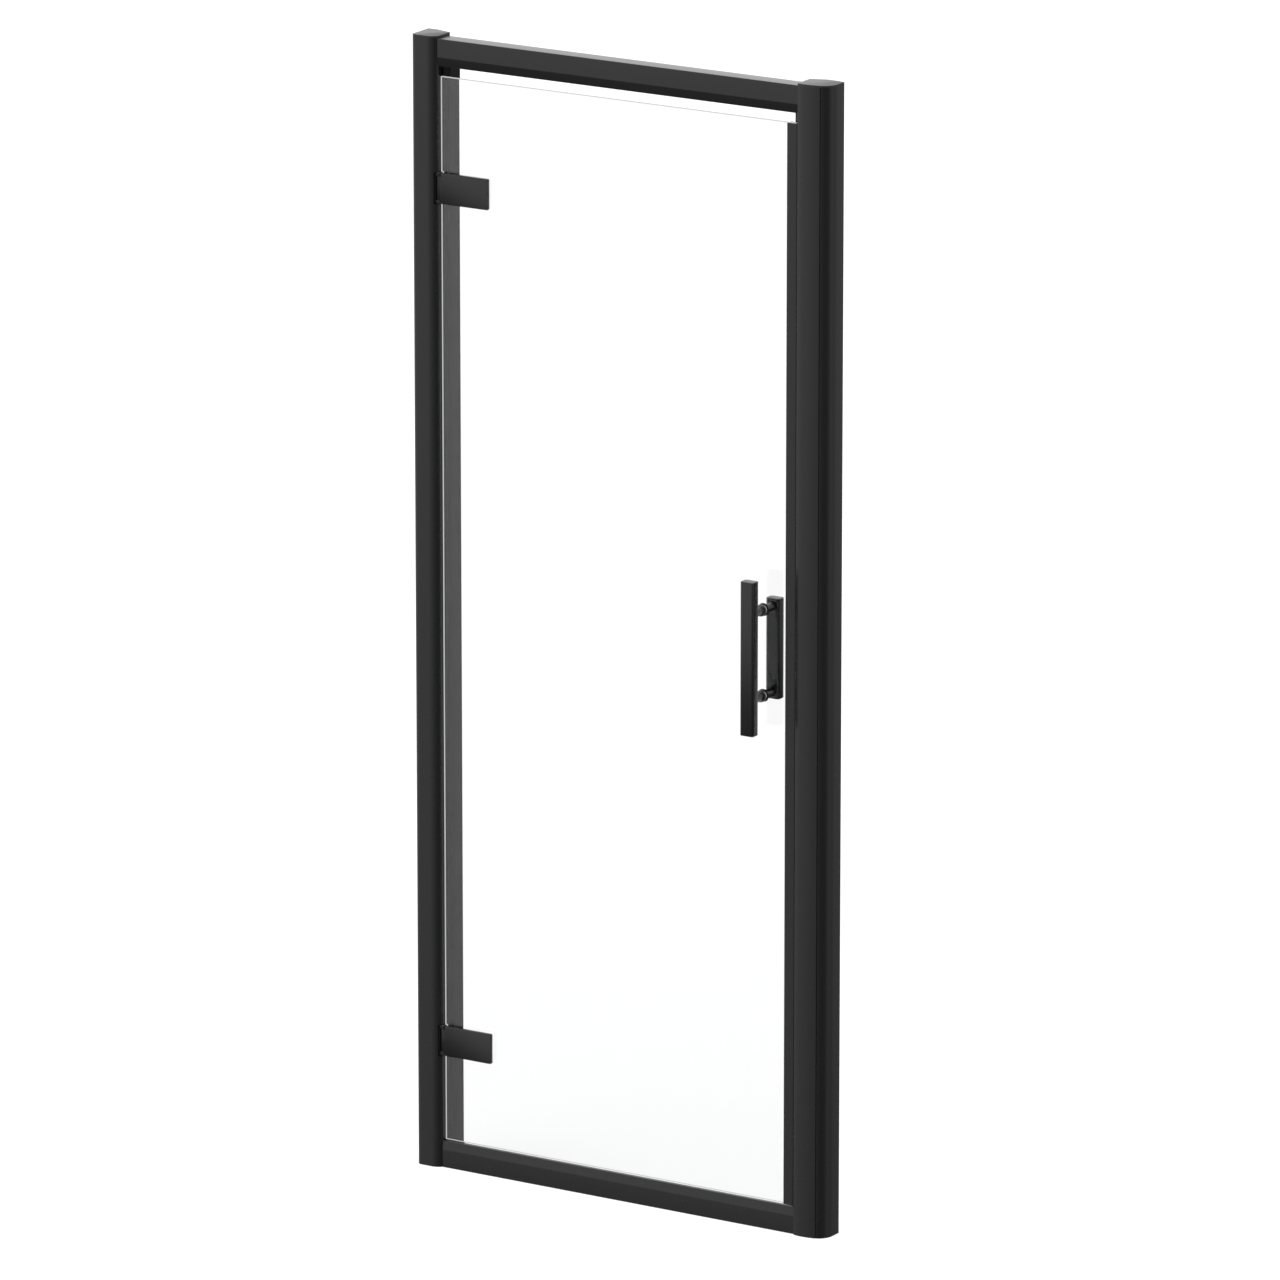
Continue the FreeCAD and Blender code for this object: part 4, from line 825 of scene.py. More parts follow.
def drawn_loops(name, loops):
    """A flat mesh of closed loops for a section."""
    data = bpy.data.meshes.new(name)
    points, edges = [], []
    for loop in loops:
        first = len(points)
        points += [(point.x, point.y, 0) for point in loop]
        edges += [(first + place, first + (place + 1) % len(loop)) for place in range(len(loop))]
    data.from_pydata(points, edges, [])
    return data


def extruded_piece(node, finish, loops, start, run, turn=UPRIGHT, tree="Extruded section", **cuts):
    """A section run along its length, in place of a node."""
    sizes = {"Start": start, "Length": run, "Turn": turn, **cuts}
    data = grown_mesh(drawn_loops(node, loops), tree, finish, **sizes)
    return finish_piece(data, node, finish, CRISP_EXTRUDED)


def row_piece(node, finish, part, places):
    """One part on each place, in place of a node that holds them all."""
    marks = bpy.data.meshes.new(f"{node}_places")
    marks.from_pydata(places, [], [])
    pattern = new_object(f"{node}_pattern", part)
    data = grown_mesh(marks, "Parts in a row", finish, Part=pattern)
    bpy.data.objects.remove(pattern)
    return finish_piece(data, node, finish)


# Sections.


def hinge_post_outer(size):
    crown, shoulder = -size.hinge_crown, -size.hinge_shoulder_rise
    fall_run = size.hinge_shoulder_x - size.hinge_crown_end
    return [
        (0, 0, tangent_radius(size.hinge_crown_start, size.hinge_crown)),
        (size.hinge_crown_start, crown),
        (size.hinge_crown_end, crown, tangent_radius(fall_run, shoulder - crown)),
        (size.hinge_shoulder_x, shoulder, size.hinge_corner_radius),
        (size.hinge_width, size.hinge_corner_depth),
        (size.hinge_width, size.hinge_side_depth),
        (size.hinge_back_x, size.hinge_back_depth),
        (0, size.hinge_back_depth),
    ]


def hinge_post_inner(size):
    """Inside of the hinge-side post, from its back to its front."""
    wall = size.wall
    inside, back = size.hinge_width - wall, size.hinge_back_depth - wall
    return [
        (0, back),
        (size.hinge_back_x, back),
        (inside, size.hinge_side_depth - wall),
        (inside, size.hinge_corner_depth + wall),
        (size.hinge_shoulder_x - wall / 2, wall - size.hinge_shoulder_rise),
        (size.hinge_crown_end, wall - size.hinge_crown),
        (size.hinge_crown_start, wall - size.hinge_crown),
        (0, wall),
    ]


def strike_places(size):
    """Outer edge and inner side of the strike-side post."""
    edge = FULL_WIDTH - size.strike_reveal
    return edge, edge - size.strike_width


def strike_post_front(size):
    side = strike_places(size)[1]
    rise = size.strike_crown + size.strike_edge_front
    rise_run = size.strike_crown_run - size.strike_edge_run
    fall = size.strike_crown + size.strike_front_end
    fall_run = size.strike_width - size.strike_crown_run
    return [
        (side, size.strike_edge_depth, size.strike_edge_radius),
        (side + size.strike_edge_run, size.strike_edge_front, tangent_radius(rise_run, rise)),
        (side + size.strike_crown_run, -size.strike_crown, tangent_radius(fall_run, fall)),
    ]


def strike_post_back(size):
    edge, side = strike_places(size)
    return [
        (edge, size.strike_back_depth),
        (side + size.strike_back_run, size.strike_back_depth),
        (side, size.strike_side_depth),
    ]


def strike_post_section(size):
    edge, side = strike_places(size)
    inside, back = side + size.wall, size.strike_back_depth - size.wall
    inner = [
        (edge, size.strike_front_end),
        (edge, size.strike_front_end + size.wall),
        (side + size.strike_crown_run, size.wall - size.strike_crown),
        (inside, size.strike_edge_depth + size.wall),
        (inside, size.strike_side_depth - size.wall),
        (side + size.strike_back_run, back),
        (edge, back),
    ]
    return strike_post_front(size) + inner + strike_post_back(size)


def strike_channel_section(size, wall):
    front, back = size.strike_front, size.strike_back
    start, nose = FULL_WIDTH - size.strike_flange, FULL_WIDTH - size.nose_run
    web = FULL_WIDTH - wall
    inner = size.nose_radius - wall
    drop = size.nose_depth - front - wall
    return [
        (start, front),
        (nose, front),
        (nose, size.nose_front, size.nose_radius),
        (FULL_WIDTH, size.nose_depth),
        (FULL_WIDTH, back),
        (start, back),
        (start, back - wall),
        (web, back - wall),
        (web, size.nose_depth, -inner),
        (web - inner + math.sqrt(inner * inner - drop * drop), front + wall),
        (start, front + wall),
    ]


def hinge_channel_section(size, wall):
    front, back, flange = size.hinge_front, size.hinge_back, size.hinge_flange
    near = [(0, front), (flange, front), (flange, front + wall), (wall, front + wall)]
    return near + [(wall, back - wall), (flange, back - wall), (flange, back), (0, back)]


def rail_sections(size, wall):
    """Outside of a rail and its two hollows, across (y, z)."""
    lip_end = size.face + size.lip_height
    lip_hollow = size.lip_back - wall
    outer = [
        (size.front + size.edge, 0),
        (size.back - size.edge, 0, size.edge),
        (size.back, size.edge),
        (size.back, size.face),
        (size.lip_back, size.face),
        (size.lip_back, lip_end),
        (size.lip_front, lip_end),
        (size.front, size.face),
        (size.front, size.edge, size.edge),
    ]
    lip = [(size.front + wall, size.face), (lip_hollow, size.face)]
    lip += [(lip_hollow, lip_end - wall), (size.lip_front + wall, lip_end - wall)]
    hollow = box_outline(size.front + wall, size.back - wall, wall, size.face - wall)
    return [outline(outer), hollow, outline(lip)]


def stop_section(start, width, front, size, wall):
    """Stop that stands out from a post; a negative width stands out the other way."""
    way = math.copysign(1, width)
    end, radius = start + width, size.edge * way
    near, far = start + wall * way, end - wall * way
    back = size.back
    return [
        (start, front),
        (end - radius, front, radius),
        (end, front + size.edge),
        (end, back - size.edge, radius),
        (end - radius, back),
        (start, back),
        (start, back - size.flange),
        (near, back - size.flange),
        (near, back - wall),
        (far, back - wall),
        (far, front + wall),
        (start, front + wall),
    ]


def seal_section(start, front, size):
    """Soft strip on the hinge stop, with a bead towards the glass."""
    end, seat = start + size.seal_width, size.hinge_front
    step, bead = seat - size.seal_base, size.seal_bead
    bead_start, bead_end = start + size.seal_bead_inset, end - size.seal_bead_inset
    return [
        (start, step),
        (bead_start, step),
        (bead_start, front + bead, bead),
        (bead_start + bead, front),
        (bead_end - bead, front, bead),
        (bead_end, front + bead),
        (bead_end, step),
        (end, step),
        (end, seat),
        (start, seat),
    ]


def closing_places():
    """Start, end, front and back of the closing profile."""
    low, high = (at_hinge_wall(corner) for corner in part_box("closing_profile"))
    return low.x, high.x, low.y, high.y


def closing_section(leaf, slot_front, slot_back, slot_floor):
    """Section of the profile that holds the free edge of the glass."""
    start, end, front, back = closing_places()
    inner, outer = leaf.closing_inner_radius, leaf.closing_front_radius
    outer_back = leaf.closing_back_radius
    corners = [
        (start + inner, front),
        (end - outer, front, outer),
        (end, front + outer),
        (end, back - outer_back, outer_back),
        (end - outer_back, back),
        (start + inner, back, inner),
        (start, back - inner),
        (start, slot_back),
        (slot_floor, slot_back),
        (slot_floor, slot_front),
        (start, slot_front),
        (start, front + inner, inner),
    ]
    return outline(corners)


# Finishes.


def ramp(tree, value, low, high, start=0.0, end=1.0):
    """Goes from start to end while a value goes from low to high."""
    inputs = {"Value": value, "From Min": low, "From Max": high, "To Min": start, "To Max": end}
    return result_of(tree, "ShaderNodeMapRange", inputs)


def noise(tree, place, scale, detail):
    inputs = {"Vector": place, "Scale": scale, "Detail": detail}
    return result_of(tree, "ShaderNodeTexNoise", inputs)


def surface_group():
    """Shared surface effect: speckled tone, roughness that varies and a fine relief."""
    tree = bpy.data.node_groups.new("Fine surface", "ShaderNodeTree")
    add_socket(tree, "Base", "NodeSocketColor")
    for name, default in (
        ("Lighter share", 0),
        ("Grain per metre", 0),
        ("Patches per metre", PATCHES_PER_METRE),
        ("Roughness", 0),
        ("Roughness spread", ROUGHNESS_SPREAD),
    ):
        add_socket(tree, name, "NodeSocketFloat", default_value=default)
    add_socket(tree, "Colour", "NodeSocketColor", "OUTPUT")
    for name in ("Roughness", "Height"):
        add_socket(tree, name, "NodeSocketFloat", "OUTPUT")
    entry = add_node(tree, "NodeGroupInput").outputs
    place = result_of(tree, "ShaderNodeTexCoord", result="Object")
    grain = noise(tree, place, entry["Grain per metre"], GRAIN_DETAIL)
    patches = noise(tree, place, entry["Patches per metre"], PATCH_DETAIL)
    amount = worked_out(tree, "MULTIPLY", ramp(tree, grain, *SPECKS), entry["Lighter share"])
    tones = {"Factor": amount, "A": entry["Base"], "B": entry["Base"]}
    swing = worked_out(tree, "SUBTRACT", patches, MEAN_NOISE)
    spread = (entry["Roughness spread"], entry["Roughness"])
    blend = {"data_type": "RGBA", "blend_type": "ADD"}
    results = {
        "Colour": result_of(tree, "ShaderNodeMix", tones, "Result", **blend),
        "Roughness": worked_out(tree, "MULTIPLY_ADD", swing, *spread),
        "Height": grain,
    }
    add_node(tree, "NodeGroupOutput", results)
    return tree


def new_material(name, constants):
    """A fresh material: its node tree and its shader."""
    if name in bpy.data.materials:
        bpy.data.materials.remove(bpy.data.materials[name])
    material = bpy.data.materials.new(name)
    material.use_nodes = True
    shader = material.node_tree.nodes["Principled BSDF"]
    for socket, value in constants.items():
        shader.inputs[socket].default_value = value
    return material.node_tree, shader


def solid_finish(group, look, name, tone, roughness, relief, grain, lighter, metal, specular):
    """Opaque finish with the shared surface effect."""
    tree, shader = new_material(name, {"Metallic": metal, "Specular IOR Level": specular})
    given = {
        "Base": getattr(look, tone),
        "Lighter share": lighter,
        "Grain per metre": grain,
        "Roughness": roughness,
    }
    surface = add_node(tree, "ShaderNodeGroup", given, node_tree=group).outputs
    bump = {"Height": surface["Height"], "Strength": relief, "Distance": RELIEF_DEPTH}
    tree.links.new(surface["Colour"], shader.inputs["Base Color"])
    tree.links.new(surface["Roughness"], shader.inputs["Roughness"])
    tree.links.new(result_of(tree, "ShaderNodeBump", bump), shader.inputs["Normal"])
    return shader


def clear_finish(look, name, tone, roughness, index):
    """Clear finish that lets lamps through."""
    tint = getattr(look, tone)
    constants = {
        "Base Color": tint,
        "Roughness": roughness,
        "IOR": index,
        "Transmission Weight": 1,
        "Specular IOR Level": CLEAR_SPECULAR,
    }
    tree, shader = new_material(name, constants)
    both = {
        "Fac": result_of(tree, "ShaderNodeLightPath", result="Is Shadow Ray"),
        1: shader.outputs["BSDF"],
        2: result_of(tree, "ShaderNodeBsdfTransparent", {"Color": tint}),
    }
    mix = result_of(tree, "ShaderNodeMixShader", both)
    tree.links.new(mix, tree.nodes["Material Output"].inputs["Surface"])


# Operators.


def settings(context):
    return context.scene.shower_door


class SHOWER_DOOR_OT_finishes(bpy.types.Operator):
    """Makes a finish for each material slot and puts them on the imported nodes"""

    bl_idname = "shower_door.finishes"
    bl_label = "Finishes"

    def execute(self, context):
        look = settings(context).finishes
        nodes = list(frame["nodes"].values())
        names = [[slot.material.name for slot in packed.material_slots] for packed in nodes]
        group = surface_group()
        shaders = {row[0]: solid_finish(group, look, *row) for row in SOLID_FINISHES}
        # Painted glow on the ground edges: an emission in place of the light the pane carries to
        # them.
        edges = shaders["ground_glass"].inputs
        edges["Emission Color"].default_value = look.painted_edge_glow
        edges["Emission Strength"].default_value = look.painted_edge_glow_strength
        for row in CLEAR_FINISHES:
            clear_finish(look, *row)
        for packed, finishes in zip(nodes, names):
            for slot, finish in zip(packed.material_slots, finishes):
                slot.material = bpy.data.materials[finish]
        return {"FINISHED"}


class SHOWER_DOOR_OT_wall_channels(bpy.types.Operator):
    """Extrudes the two channels that are screwed to the walls"""

    bl_idname = "shower_door.wall_channels"
    bl_label = "Wall channels"

    def execute(self, context):
        door = settings(context)
        for side, section in (
            ("hinge", hinge_channel_section),
            ("strike", strike_channel_section),
        ):
            loop = eased(outline(section(door.channels, door.posts.wall)), door.posts.ease)
            extruded_piece(f"{side}_wall_channel", "black_frame", [loop], 0.0, POST_TOP)
        return {"FINISHED"}


class SHOWER_DOOR_OT_posts(bpy.types.Operator):
    """Extrudes both posts and cuts the hinge-side one for its hinges"""

    bl_idname = "shower_door.posts"
    bl_label = "Posts"

    def execute(self, context):
        size = settings(context).posts
        cuts = {
            "Cut start": size.notch_x,
            "Cut depth": size.notch_depth,
            "Cut half height": size.notch_half,
            "Lower hinge": HINGE_RISES["lower"],
            "Upper hinge": HINGE_RISES["upper"],
            "Overrun": size.notch_depth,
        }
        hinge = eased(outline(hinge_post_outer(size) + hinge_post_inner(size)), size.ease)
        strike = eased(outline(strike_post_section(size)), size.ease)
        extruded_piece(
            "hinge_jamb", "black_frame", [hinge], 0.0, POST_TOP, tree="Notched post", **cuts
        )
        extruded_piece("strike_jamb", "black_frame", [strike], 0.0, POST_TOP)
        return {"FINISHED"}


class SHOWER_DOOR_OT_post_caps(bpy.types.Operator):
    """Makes the flat caps on the posts' top ends"""

    bl_idname = "shower_door.post_caps"
    bl_label = "Post caps"

    def execute(self, context):
        door = settings(context)
        size, channel = door.posts, door.channels
        drop = channel.nose_depth - size.strike_front_end
        nose_radius = tangent_radius(drop, size.strike_reveal)
        nose = [
            (strike_places(size)[0], size.strike_front_end, nose_radius),
            (FULL_WIDTH, channel.nose_depth),
            (FULL_WIDTH, channel.strike_back),
        ]
        levels = rounded_levels(POST_TOP, FULL_HEIGHT, 0, size.cap_ease)
        for side, corners in (
            ("hinge", hinge_post_outer(size)),
            ("strike", strike_post_front(size) + nose + strike_post_back(size)),
        ):
            loop = eased(outline(corners), size.ease)
            solid_piece(f"{side}_jamb_cap", "black_plastic", ([loop], levels))
        return {"FINISHED"}


class SHOWER_DOOR_OT_rails(bpy.types.Operator):
    """Extrudes the bottom rail, and the top rail turned end for end"""

    bl_idname = "shower_door.rails"
    bl_label = "Rails"

    def execute(self, context):
        door = settings(context)
        loops = rail_sections(door.rails, door.posts.wall)
        loops[0] = eased(loops[0], door.posts.ease)
        turned = [[Vector((p.x, RAIL_TOP - p.y)) for p in loop] for loop in loops]
        start = door.posts.hinge_width
        run = strike_places(door.posts)[1] - start
        extruded_piece("bottom_rail", "black_frame", loops, start, run, ALONG_X)
        extruded_piece("top_rail", "black_frame", turned, start, run, ALONG_X)
        return {"FINISHED"}


class SHOWER_DOOR_OT_stops(bpy.types.Operator):
    """Extrudes the stops behind the leaf, with their seal and magnet strip"""

    bl_idname = "shower_door.stops"
    bl_label = "Stops"

    def execute(self, context):
        door = settings(context)
        size, wall = door.stops, door.posts.wall
        low = door.rails.face
        run = RAIL_TOP - low * 2
        hinge_side, strike_side = door.posts.hinge_width, strike_places(door.posts)[1]
        front = GLASS_BACK + size.seal_gap
        hinge = stop_section(hinge_side, size.hinge_width, size.hinge_front, size, wall)
        strike = stop_section(strike_side, -size.strike_width, size.strike_front, size, wall)
        seal = seal_section(hinge_side + size.strip_inset, front, size)
        pieces = [
            extruded_piece(node, finish, [eased(outline(corners), door.posts.ease)], low, run)
            for node, finish, corners in (
                ("hinge_stop", "black_frame", hinge),
                ("strike_stop", "black_frame", strike),
                ("hinge_stop_seal", "black_rubber", seal),
            )
        ]
        # The hinge stop takes the low-sheen copy of the frame coat: painted shade for where the
        # rail and post shadow it.
        pieces[0].data.materials[0] = bpy.data.materials["dull_coat"]

        magnet_end, seat = strike_side - size.strip_inset, size.strike_front
        magnet_start = magnet_end - size.magnet_width
        magnet = box_outline(magnet_start, magnet_end, seat - size.magnet, seat, size.magnet_edge)
        extruded_piece("strike_magnet_strip", "magnet_strip", [magnet], low, run)
        return {"FINISHED"}


class SHOWER_DOOR_OT_glass(bpy.types.Operator):
    """Makes the glass with its ground edges, notches and holes"""

    bl_idname = "shower_door.glass"
    bl_label = "Glass"

    def execute(self, context):
        door = settings(context)
        size, hinge, half = door.leaf, door.hinges, door.handle.spacing / 2
        low, high = at_hinge_wall(GLASS_LOW), at_hinge_wall(GLASS_HIGH)
        corners = [(low.x, low.z), (high.x, low.z), (high.x, high.z), (low.x, high.z)]
        holes = []
        for rise in HINGE_RISES.values():
            top, foot = rise + size.notch_half, rise - size.notch_half
            corners += [(low.x, top), (size.notch_x, top), (size.notch_x, foot), (low.x, foot)]
            holes += [(hinge.first_clamp, rise), (hinge.second_clamp, rise)]
        holes += [(HANDLE_X, HANDLE_RISE + half), (HANDLE_X, HANDLE_RISE - half)]
        loops = [outline(corners)] + [circle(x, rise, size.hole) for x, rise in holes]
        levels = rounded_levels(low.y, high.y, size.arris, size.arris, steps=1)
        pane = solid_piece("glass_panel", "clear_glass", (loops, levels, "Y"))
        pane.data.materials.append(bpy.data.materials["ground_glass"])
        for face in pane.data.polygons:
            if abs(face.normal.y) < FACE_SHARE:
                face.material_index = 1
                face.use_smooth = False
        return {"FINISHED"}


class SHOWER_DOOR_OT_closing_profile(bpy.types.Operator):
    """Makes the profile on the leaf's free edge with its liner, end caps and magnet strip"""

    bl_idname = "shower_door.closing_profile"
    bl_label = "Closing profile"

    def execute(self, context):
        door = settings(context)
        size, ease = door.leaf, door.posts.ease
        start, end, _, back = closing_places()
        glass_end = at_hinge_wall(GLASS_HIGH).x
        floor = glass_end + size.liner
        liner_front, liner_back = GLASS_FRONT - size.liner, GLASS_BACK + size.liner
        liner_start = start + size.liner_inset
        liner = [
            (liner_start, liner_front),
            (floor, liner_front),
            (floor, liner_back),
            (liner_start, liner_back),
            (liner_start, GLASS_BACK),
            (glass_end, GLASS_BACK),
            (glass_end, GLASS_FRONT),
            (liner_start, GLASS_FRONT),
        ]
        low, high = GLASS_LOW.z + size.closing_cap, GLASS_HIGH.z - size.closing_cap
        run = high - low
        profile = closing_section(size, liner_front, liner_back, floor)
        extruded_piece("closing_profile", "black_frame", [profile], low, run)
        extruded_piece("closing_profile_gasket", "black_rubber", [outline(liner)], low, run)

        cap = closing_section(size, GLASS_FRONT, GLASS_BACK, glass_end)
        for end_name, levels in (
            ("bottom", rounded_levels(GLASS_LOW.z, low, ease, 0)),
            ("top", rounded_levels(high, GLASS_HIGH.z, 0, ease)),
        ):
            solid_piece(f"closing_profile_{end_name}_cap", "black_plastic", ([cap], levels))

        strip_end = end - size.magnet_inset
        strip_start = strip_end - size.magnet_width
        strip = box_outline(
            strip_start, strip_end, back, back + size.magnet, door.stops.magnet_edge
        )
        extruded_piece("door_magnet_strip", "magnet_strip", [strip], low, run)
        return {"FINISHED"}


class SHOWER_DOOR_OT_hinge_brackets(bpy.types.Operator):
    """Makes the folded brackets in the hinge-side post, with their pins"""

    bl_idname = "shower_door.hinge_brackets"
    bl_label = "Hinge brackets"

    def execute(self, context):
        door = settings(context)
        size, edge = door.hinges, door.posts.ease
        pivot = (size.pivot_x, size.pivot_y)
        front, back = size.pivot_y - size.knuckle, size.pivot_y + size.knuckle
        inside = door.posts.hinge_width - door.posts.wall
        flange = inside - size.bracket
        fold, fold_back = size.flange_front, size.flange_front + size.bracket
        web_end = size.web_x + size.bracket
        web_middle = web_end - size.bracket / 2
        plate = [
            (size.web_x, front),
            (web_end, front),
            (web_end, fold),
            (inside, fold),
            (inside, size.flange_back),
            (flange, size.flange_back),
            (flange, fold_back),
            (size.web_x, fold_back),
        ]
        lug = [
            (web_middle, front),
            (size.pivot_x, front, size.knuckle),
            (size.pivot_x + size.knuckle, size.pivot_y, size.knuckle),
            (size.pivot_x, back),
            (web_middle, back),
        ]
        plates = [eased(outline(plate), edge)]
        lugs = [outline(lug), circle(*pivot, size.pin + PIN_PLAY)]
        for side, rise in HINGE_RISES.items():
            foot, top = rise - size.half, rise + size.half
            solid_piece(
                f"{side}_hinge_bracket",
                "bracket_steel",
                (plates, rounded_levels(foot, top, edge, edge)),
                (lugs, rounded_levels(top - size.lug, top, edge, edge)),
                (lugs, rounded_levels(foot, foot + size.lug, edge, edge)),
            )
            pin = turned_rod(foot, top, size.pin, edge, edge)
            pin_mesh = mesh_of("pin", lambda mesh: add_turned(mesh, pin, pivot, "Z"))
            finish_piece(pin_mesh, f"{side}_hinge_pin", "screw_steel")
        return {"FINISHED"}


class SHOWER_DOOR_OT_hinge_plates(bpy.types.Operator):
    """Makes the hinge plates on both faces of the glass, with their knuckles"""

    bl_idname = "shower_door.hinge_plates"
    bl_label = "Hinge plates"

    def execute(self, context):
        size = settings(context).hinges
        radius, pivot_x, pivot_y = size.knuckle, size.pivot_x, size.pivot_y
        plate_back = size.plate_front + size.plate
        web_front = size.plate_front + size.edge
        web_end = size.plate_start + size.corner
        knuckle = [
            (pivot_x + math.sqrt(radius**2 - (pivot_y - web_front) ** 2), web_front),
            (web_end, web_front),
            (web_end, plate_back),
            (pivot_x + math.sqrt(radius**2 - (plate_back - pivot_y) ** 2), plate_back, radius),
            (pivot_x - radius, pivot_y, radius),
        ]
        knuckles = [outline(knuckle), circle(pivot_x, pivot_y, size.bore)]
        front_levels = rounded_levels(size.plate_front, plate_back, size.edge, 0)
        back_end = size.back_front + size.back
        back_levels = rounded_levels(size.back_front, back_end, 0, size.edge)
        head = size.clamp_head + COUNTERBORE_PLAY
        for side, rise in HINGE_RISES.items():
            plate = box_outline(
                size.plate_start, size.plate_end, rise - size.half, rise + size.half, size.corner
            )
            low, high = rise - size.knuckle_half, rise + size.knuckle_half
            solid_piece(
                f"{side}_hinge_front_plate",
                "black_hardware",
                ([plate], front_levels, "Y"),
                (knuckles, rounded_levels(low, high, KNUCKLE_EDGE, KNUCKLE_EDGE)),
            )
            low, high = rise - size.back_half, rise + size.back_half
            loops = [box_outline(size.back_start, size.back_end, low, high, size.corner)]
            loops += [circle(x, rise, head) for x in (size.first_clamp, size.second_clamp)]
            solid_piece(f"{side}_hinge_back_plate", "black_hardware", (loops, back_levels, "Y"))
        return {"FINISHED"}


class SHOWER_DOOR_OT_handle(bpy.types.Operator):
    """Makes the two bars of the handle, their turned standoffs and the clear washers"""

    bl_idname = "shower_door.handle"
    bl_label = "Handle"

    def execute(self, context):
        size = settings(context).handle
        middle = (GLASS_FRONT + GLASS_BACK) / 2
        front, back = middle - size.reach, middle + size.reach
        left, right = HANDLE_X - size.width / 2, HANDLE_X + size.width / 2
        for side, near, run in (
            ("front", front, size.front_length),
            ("back", back - size.depth, size.back_length),
        ):
            low, high = HANDLE_RISE - run / 2, HANDLE_RISE + run / 2
            section = box_outline(left, right, near, near + size.depth, size.corner)
            levels = rounded_levels(low, high, size.end_edge, size.end_edge)
            solid_piece(f"handle_{side}_bar", "black_hardware", ([section], levels))

        ball_end = GLASS_FRONT - size.washer
        foot_start = GLASS_BACK + size.washer
        foot_end = foot_start + size.flange_length
        neck_end = back - size.depth
        foot = turned_rod(foot_start, foot_end, size.flange, size.turned_edge, size.turned_edge)
        neck = [(size.neck, foot_end), (size.neck, neck_end), (size.bore, neck_end)]
        inside = turned_part("inside_standoff", [(size.bore, foot_start)] + foot + neck)
        outside = turned_part(
            "outside_standoff", self.ball_profile(size, front + size.depth, ball_end)
        )
        washers = []
        for start, end, radius in (
            (ball_end, GLASS_FRONT, size.ball),
            (GLASS_BACK, foot_start, size.flange),
        ):
            rim = radius - size.washer_inset
            ring = turned_rod(start, end, rim, WASHER_EDGE, WASHER_EDGE)
            washers.append(ring + [(size.bore, end), (size.bore, start)])

        grub = [(size.grub_hole, -size.neck * 2), (size.grub_hole, -size.stud)]
        grub_place = (0, neck_end - size.grub_place)
        drill_mesh = mesh_of("drill", lambda mesh: add_turned(mesh, grub, grub_place, "Z"))
        drill = new_object("drill", drill_mesh)
        drilled = grown_mesh(inside, "Drilled part", "black_hardware", Drill=drill)
        bpy.data.objects.remove(drill)
        half = size.spacing / 2
        places = [(HANDLE_X, 0, HANDLE_RISE + half), (HANDLE_X, 0, HANDLE_RISE - half)]
        row_piece("handle_front_standoffs", "black_hardware", outside, places)
        row_piece("handle_back_standoffs", "black_hardware", drilled, places)
        row_piece("handle_washers", "clear_washer", turned_part("washers", *washers), places)
        return {"FINISHED"}

    def ball_profile(self, size, start, end):
        """An outside standoff: a neck that runs into a ball-shaped foot."""
        profile = [(size.bore, start), (size.neck, start)]
        first, last = -math.acos(size.neck / size.ball), math.asin(size.ball_seat / size.ball)
        for step in range(BALL_STEPS + 1):
            turn = first + (last - first) * step / BALL_STEPS
            place = end - size.ball_seat + size.ball * math.sin(turn)
            profile.append((size.ball * math.cos(turn), place))
        return profile + [(size.bore, end)]


class SHOWER_DOOR_OT_screws(bpy.types.Operator):
    """Sets the screw caps, clamp screws and bracket screws in their rows"""

    bl_idname = "shower_door.screws"
    bl_label = "Screws and caps"

    def execute(self, context):
        door = settings(context)
        size, hinge, post = door.screws, door.hinges, door.posts
        depth = size.socket_depth
        roof, inner = size.cap_height - size.cap_wall, size.cap_radius - size.cap_wall
        profile = turned_rod(0, size.cap_height, size.cap_radius, 0, size.cap_edge)
        profile += [(0, size.cap_height), (0, roof), (inner, roof), (inner, 0)]
        cap = turned_part("screw_cap", profile)
        rises = [size.adjusting_inset, POST_TOP / 2, POST_TOP - size.adjusting_inset]
        strike_x = strike_places(post)[0] - size.strike_run
        for side, x, seat in (
            ("hinge", size.hinge_x, post.hinge_back_depth),
            ("strike", strike_x, post.strike_back_depth),
        ):
            places = [(x, seat, rise) for rise in rises]
            row_piece(f"{side}_screw_caps", "black_plastic", cap, places)

        def draw_clamp(mesh):
            top, head = hinge.clamp_height, hinge.clamp_head
            add_socket_head(mesh, "Y", top, head, head * size.socket, depth, CLAMP_EDGE)

        def draw_fixing(mesh):
            top, head = hinge.screw_height, hinge.screw_head
            add_socket_head(mesh, "X", top, head, head * size.socket, depth, BRACKET_SCREW_EDGE)
            low, radius = -hinge.screw_length, hinge.screw_shank
            shank = turned_rod(low, SHANK_OVERLAP, radius, SHANK_EDGE, SHANK_EDGE)
            add_turned(mesh, shank, (0, 0), "X")

        clamp, fixing = mesh_of("clamp_screw", draw_clamp), mesh_of("bracket_screw", draw_fixing)
        for side, rise in HINGE_RISES.items():
            places = [(x, hinge.clamp_seat, rise) for x in (hinge.first_clamp, hinge.second_clamp)]
            row_piece(f"{side}_hinge_clamp_screws", "screw_steel", clamp, places)
            places = [
                (post.hinge_width, hinge.screw_depth, rise + hinge.screw_rise * way)
                for way in (1, -1)
            ]
            row_piece(f"{side}_hinge_bracket_screws", "screw_steel", fixing, places)
        return {"FINISHED"}


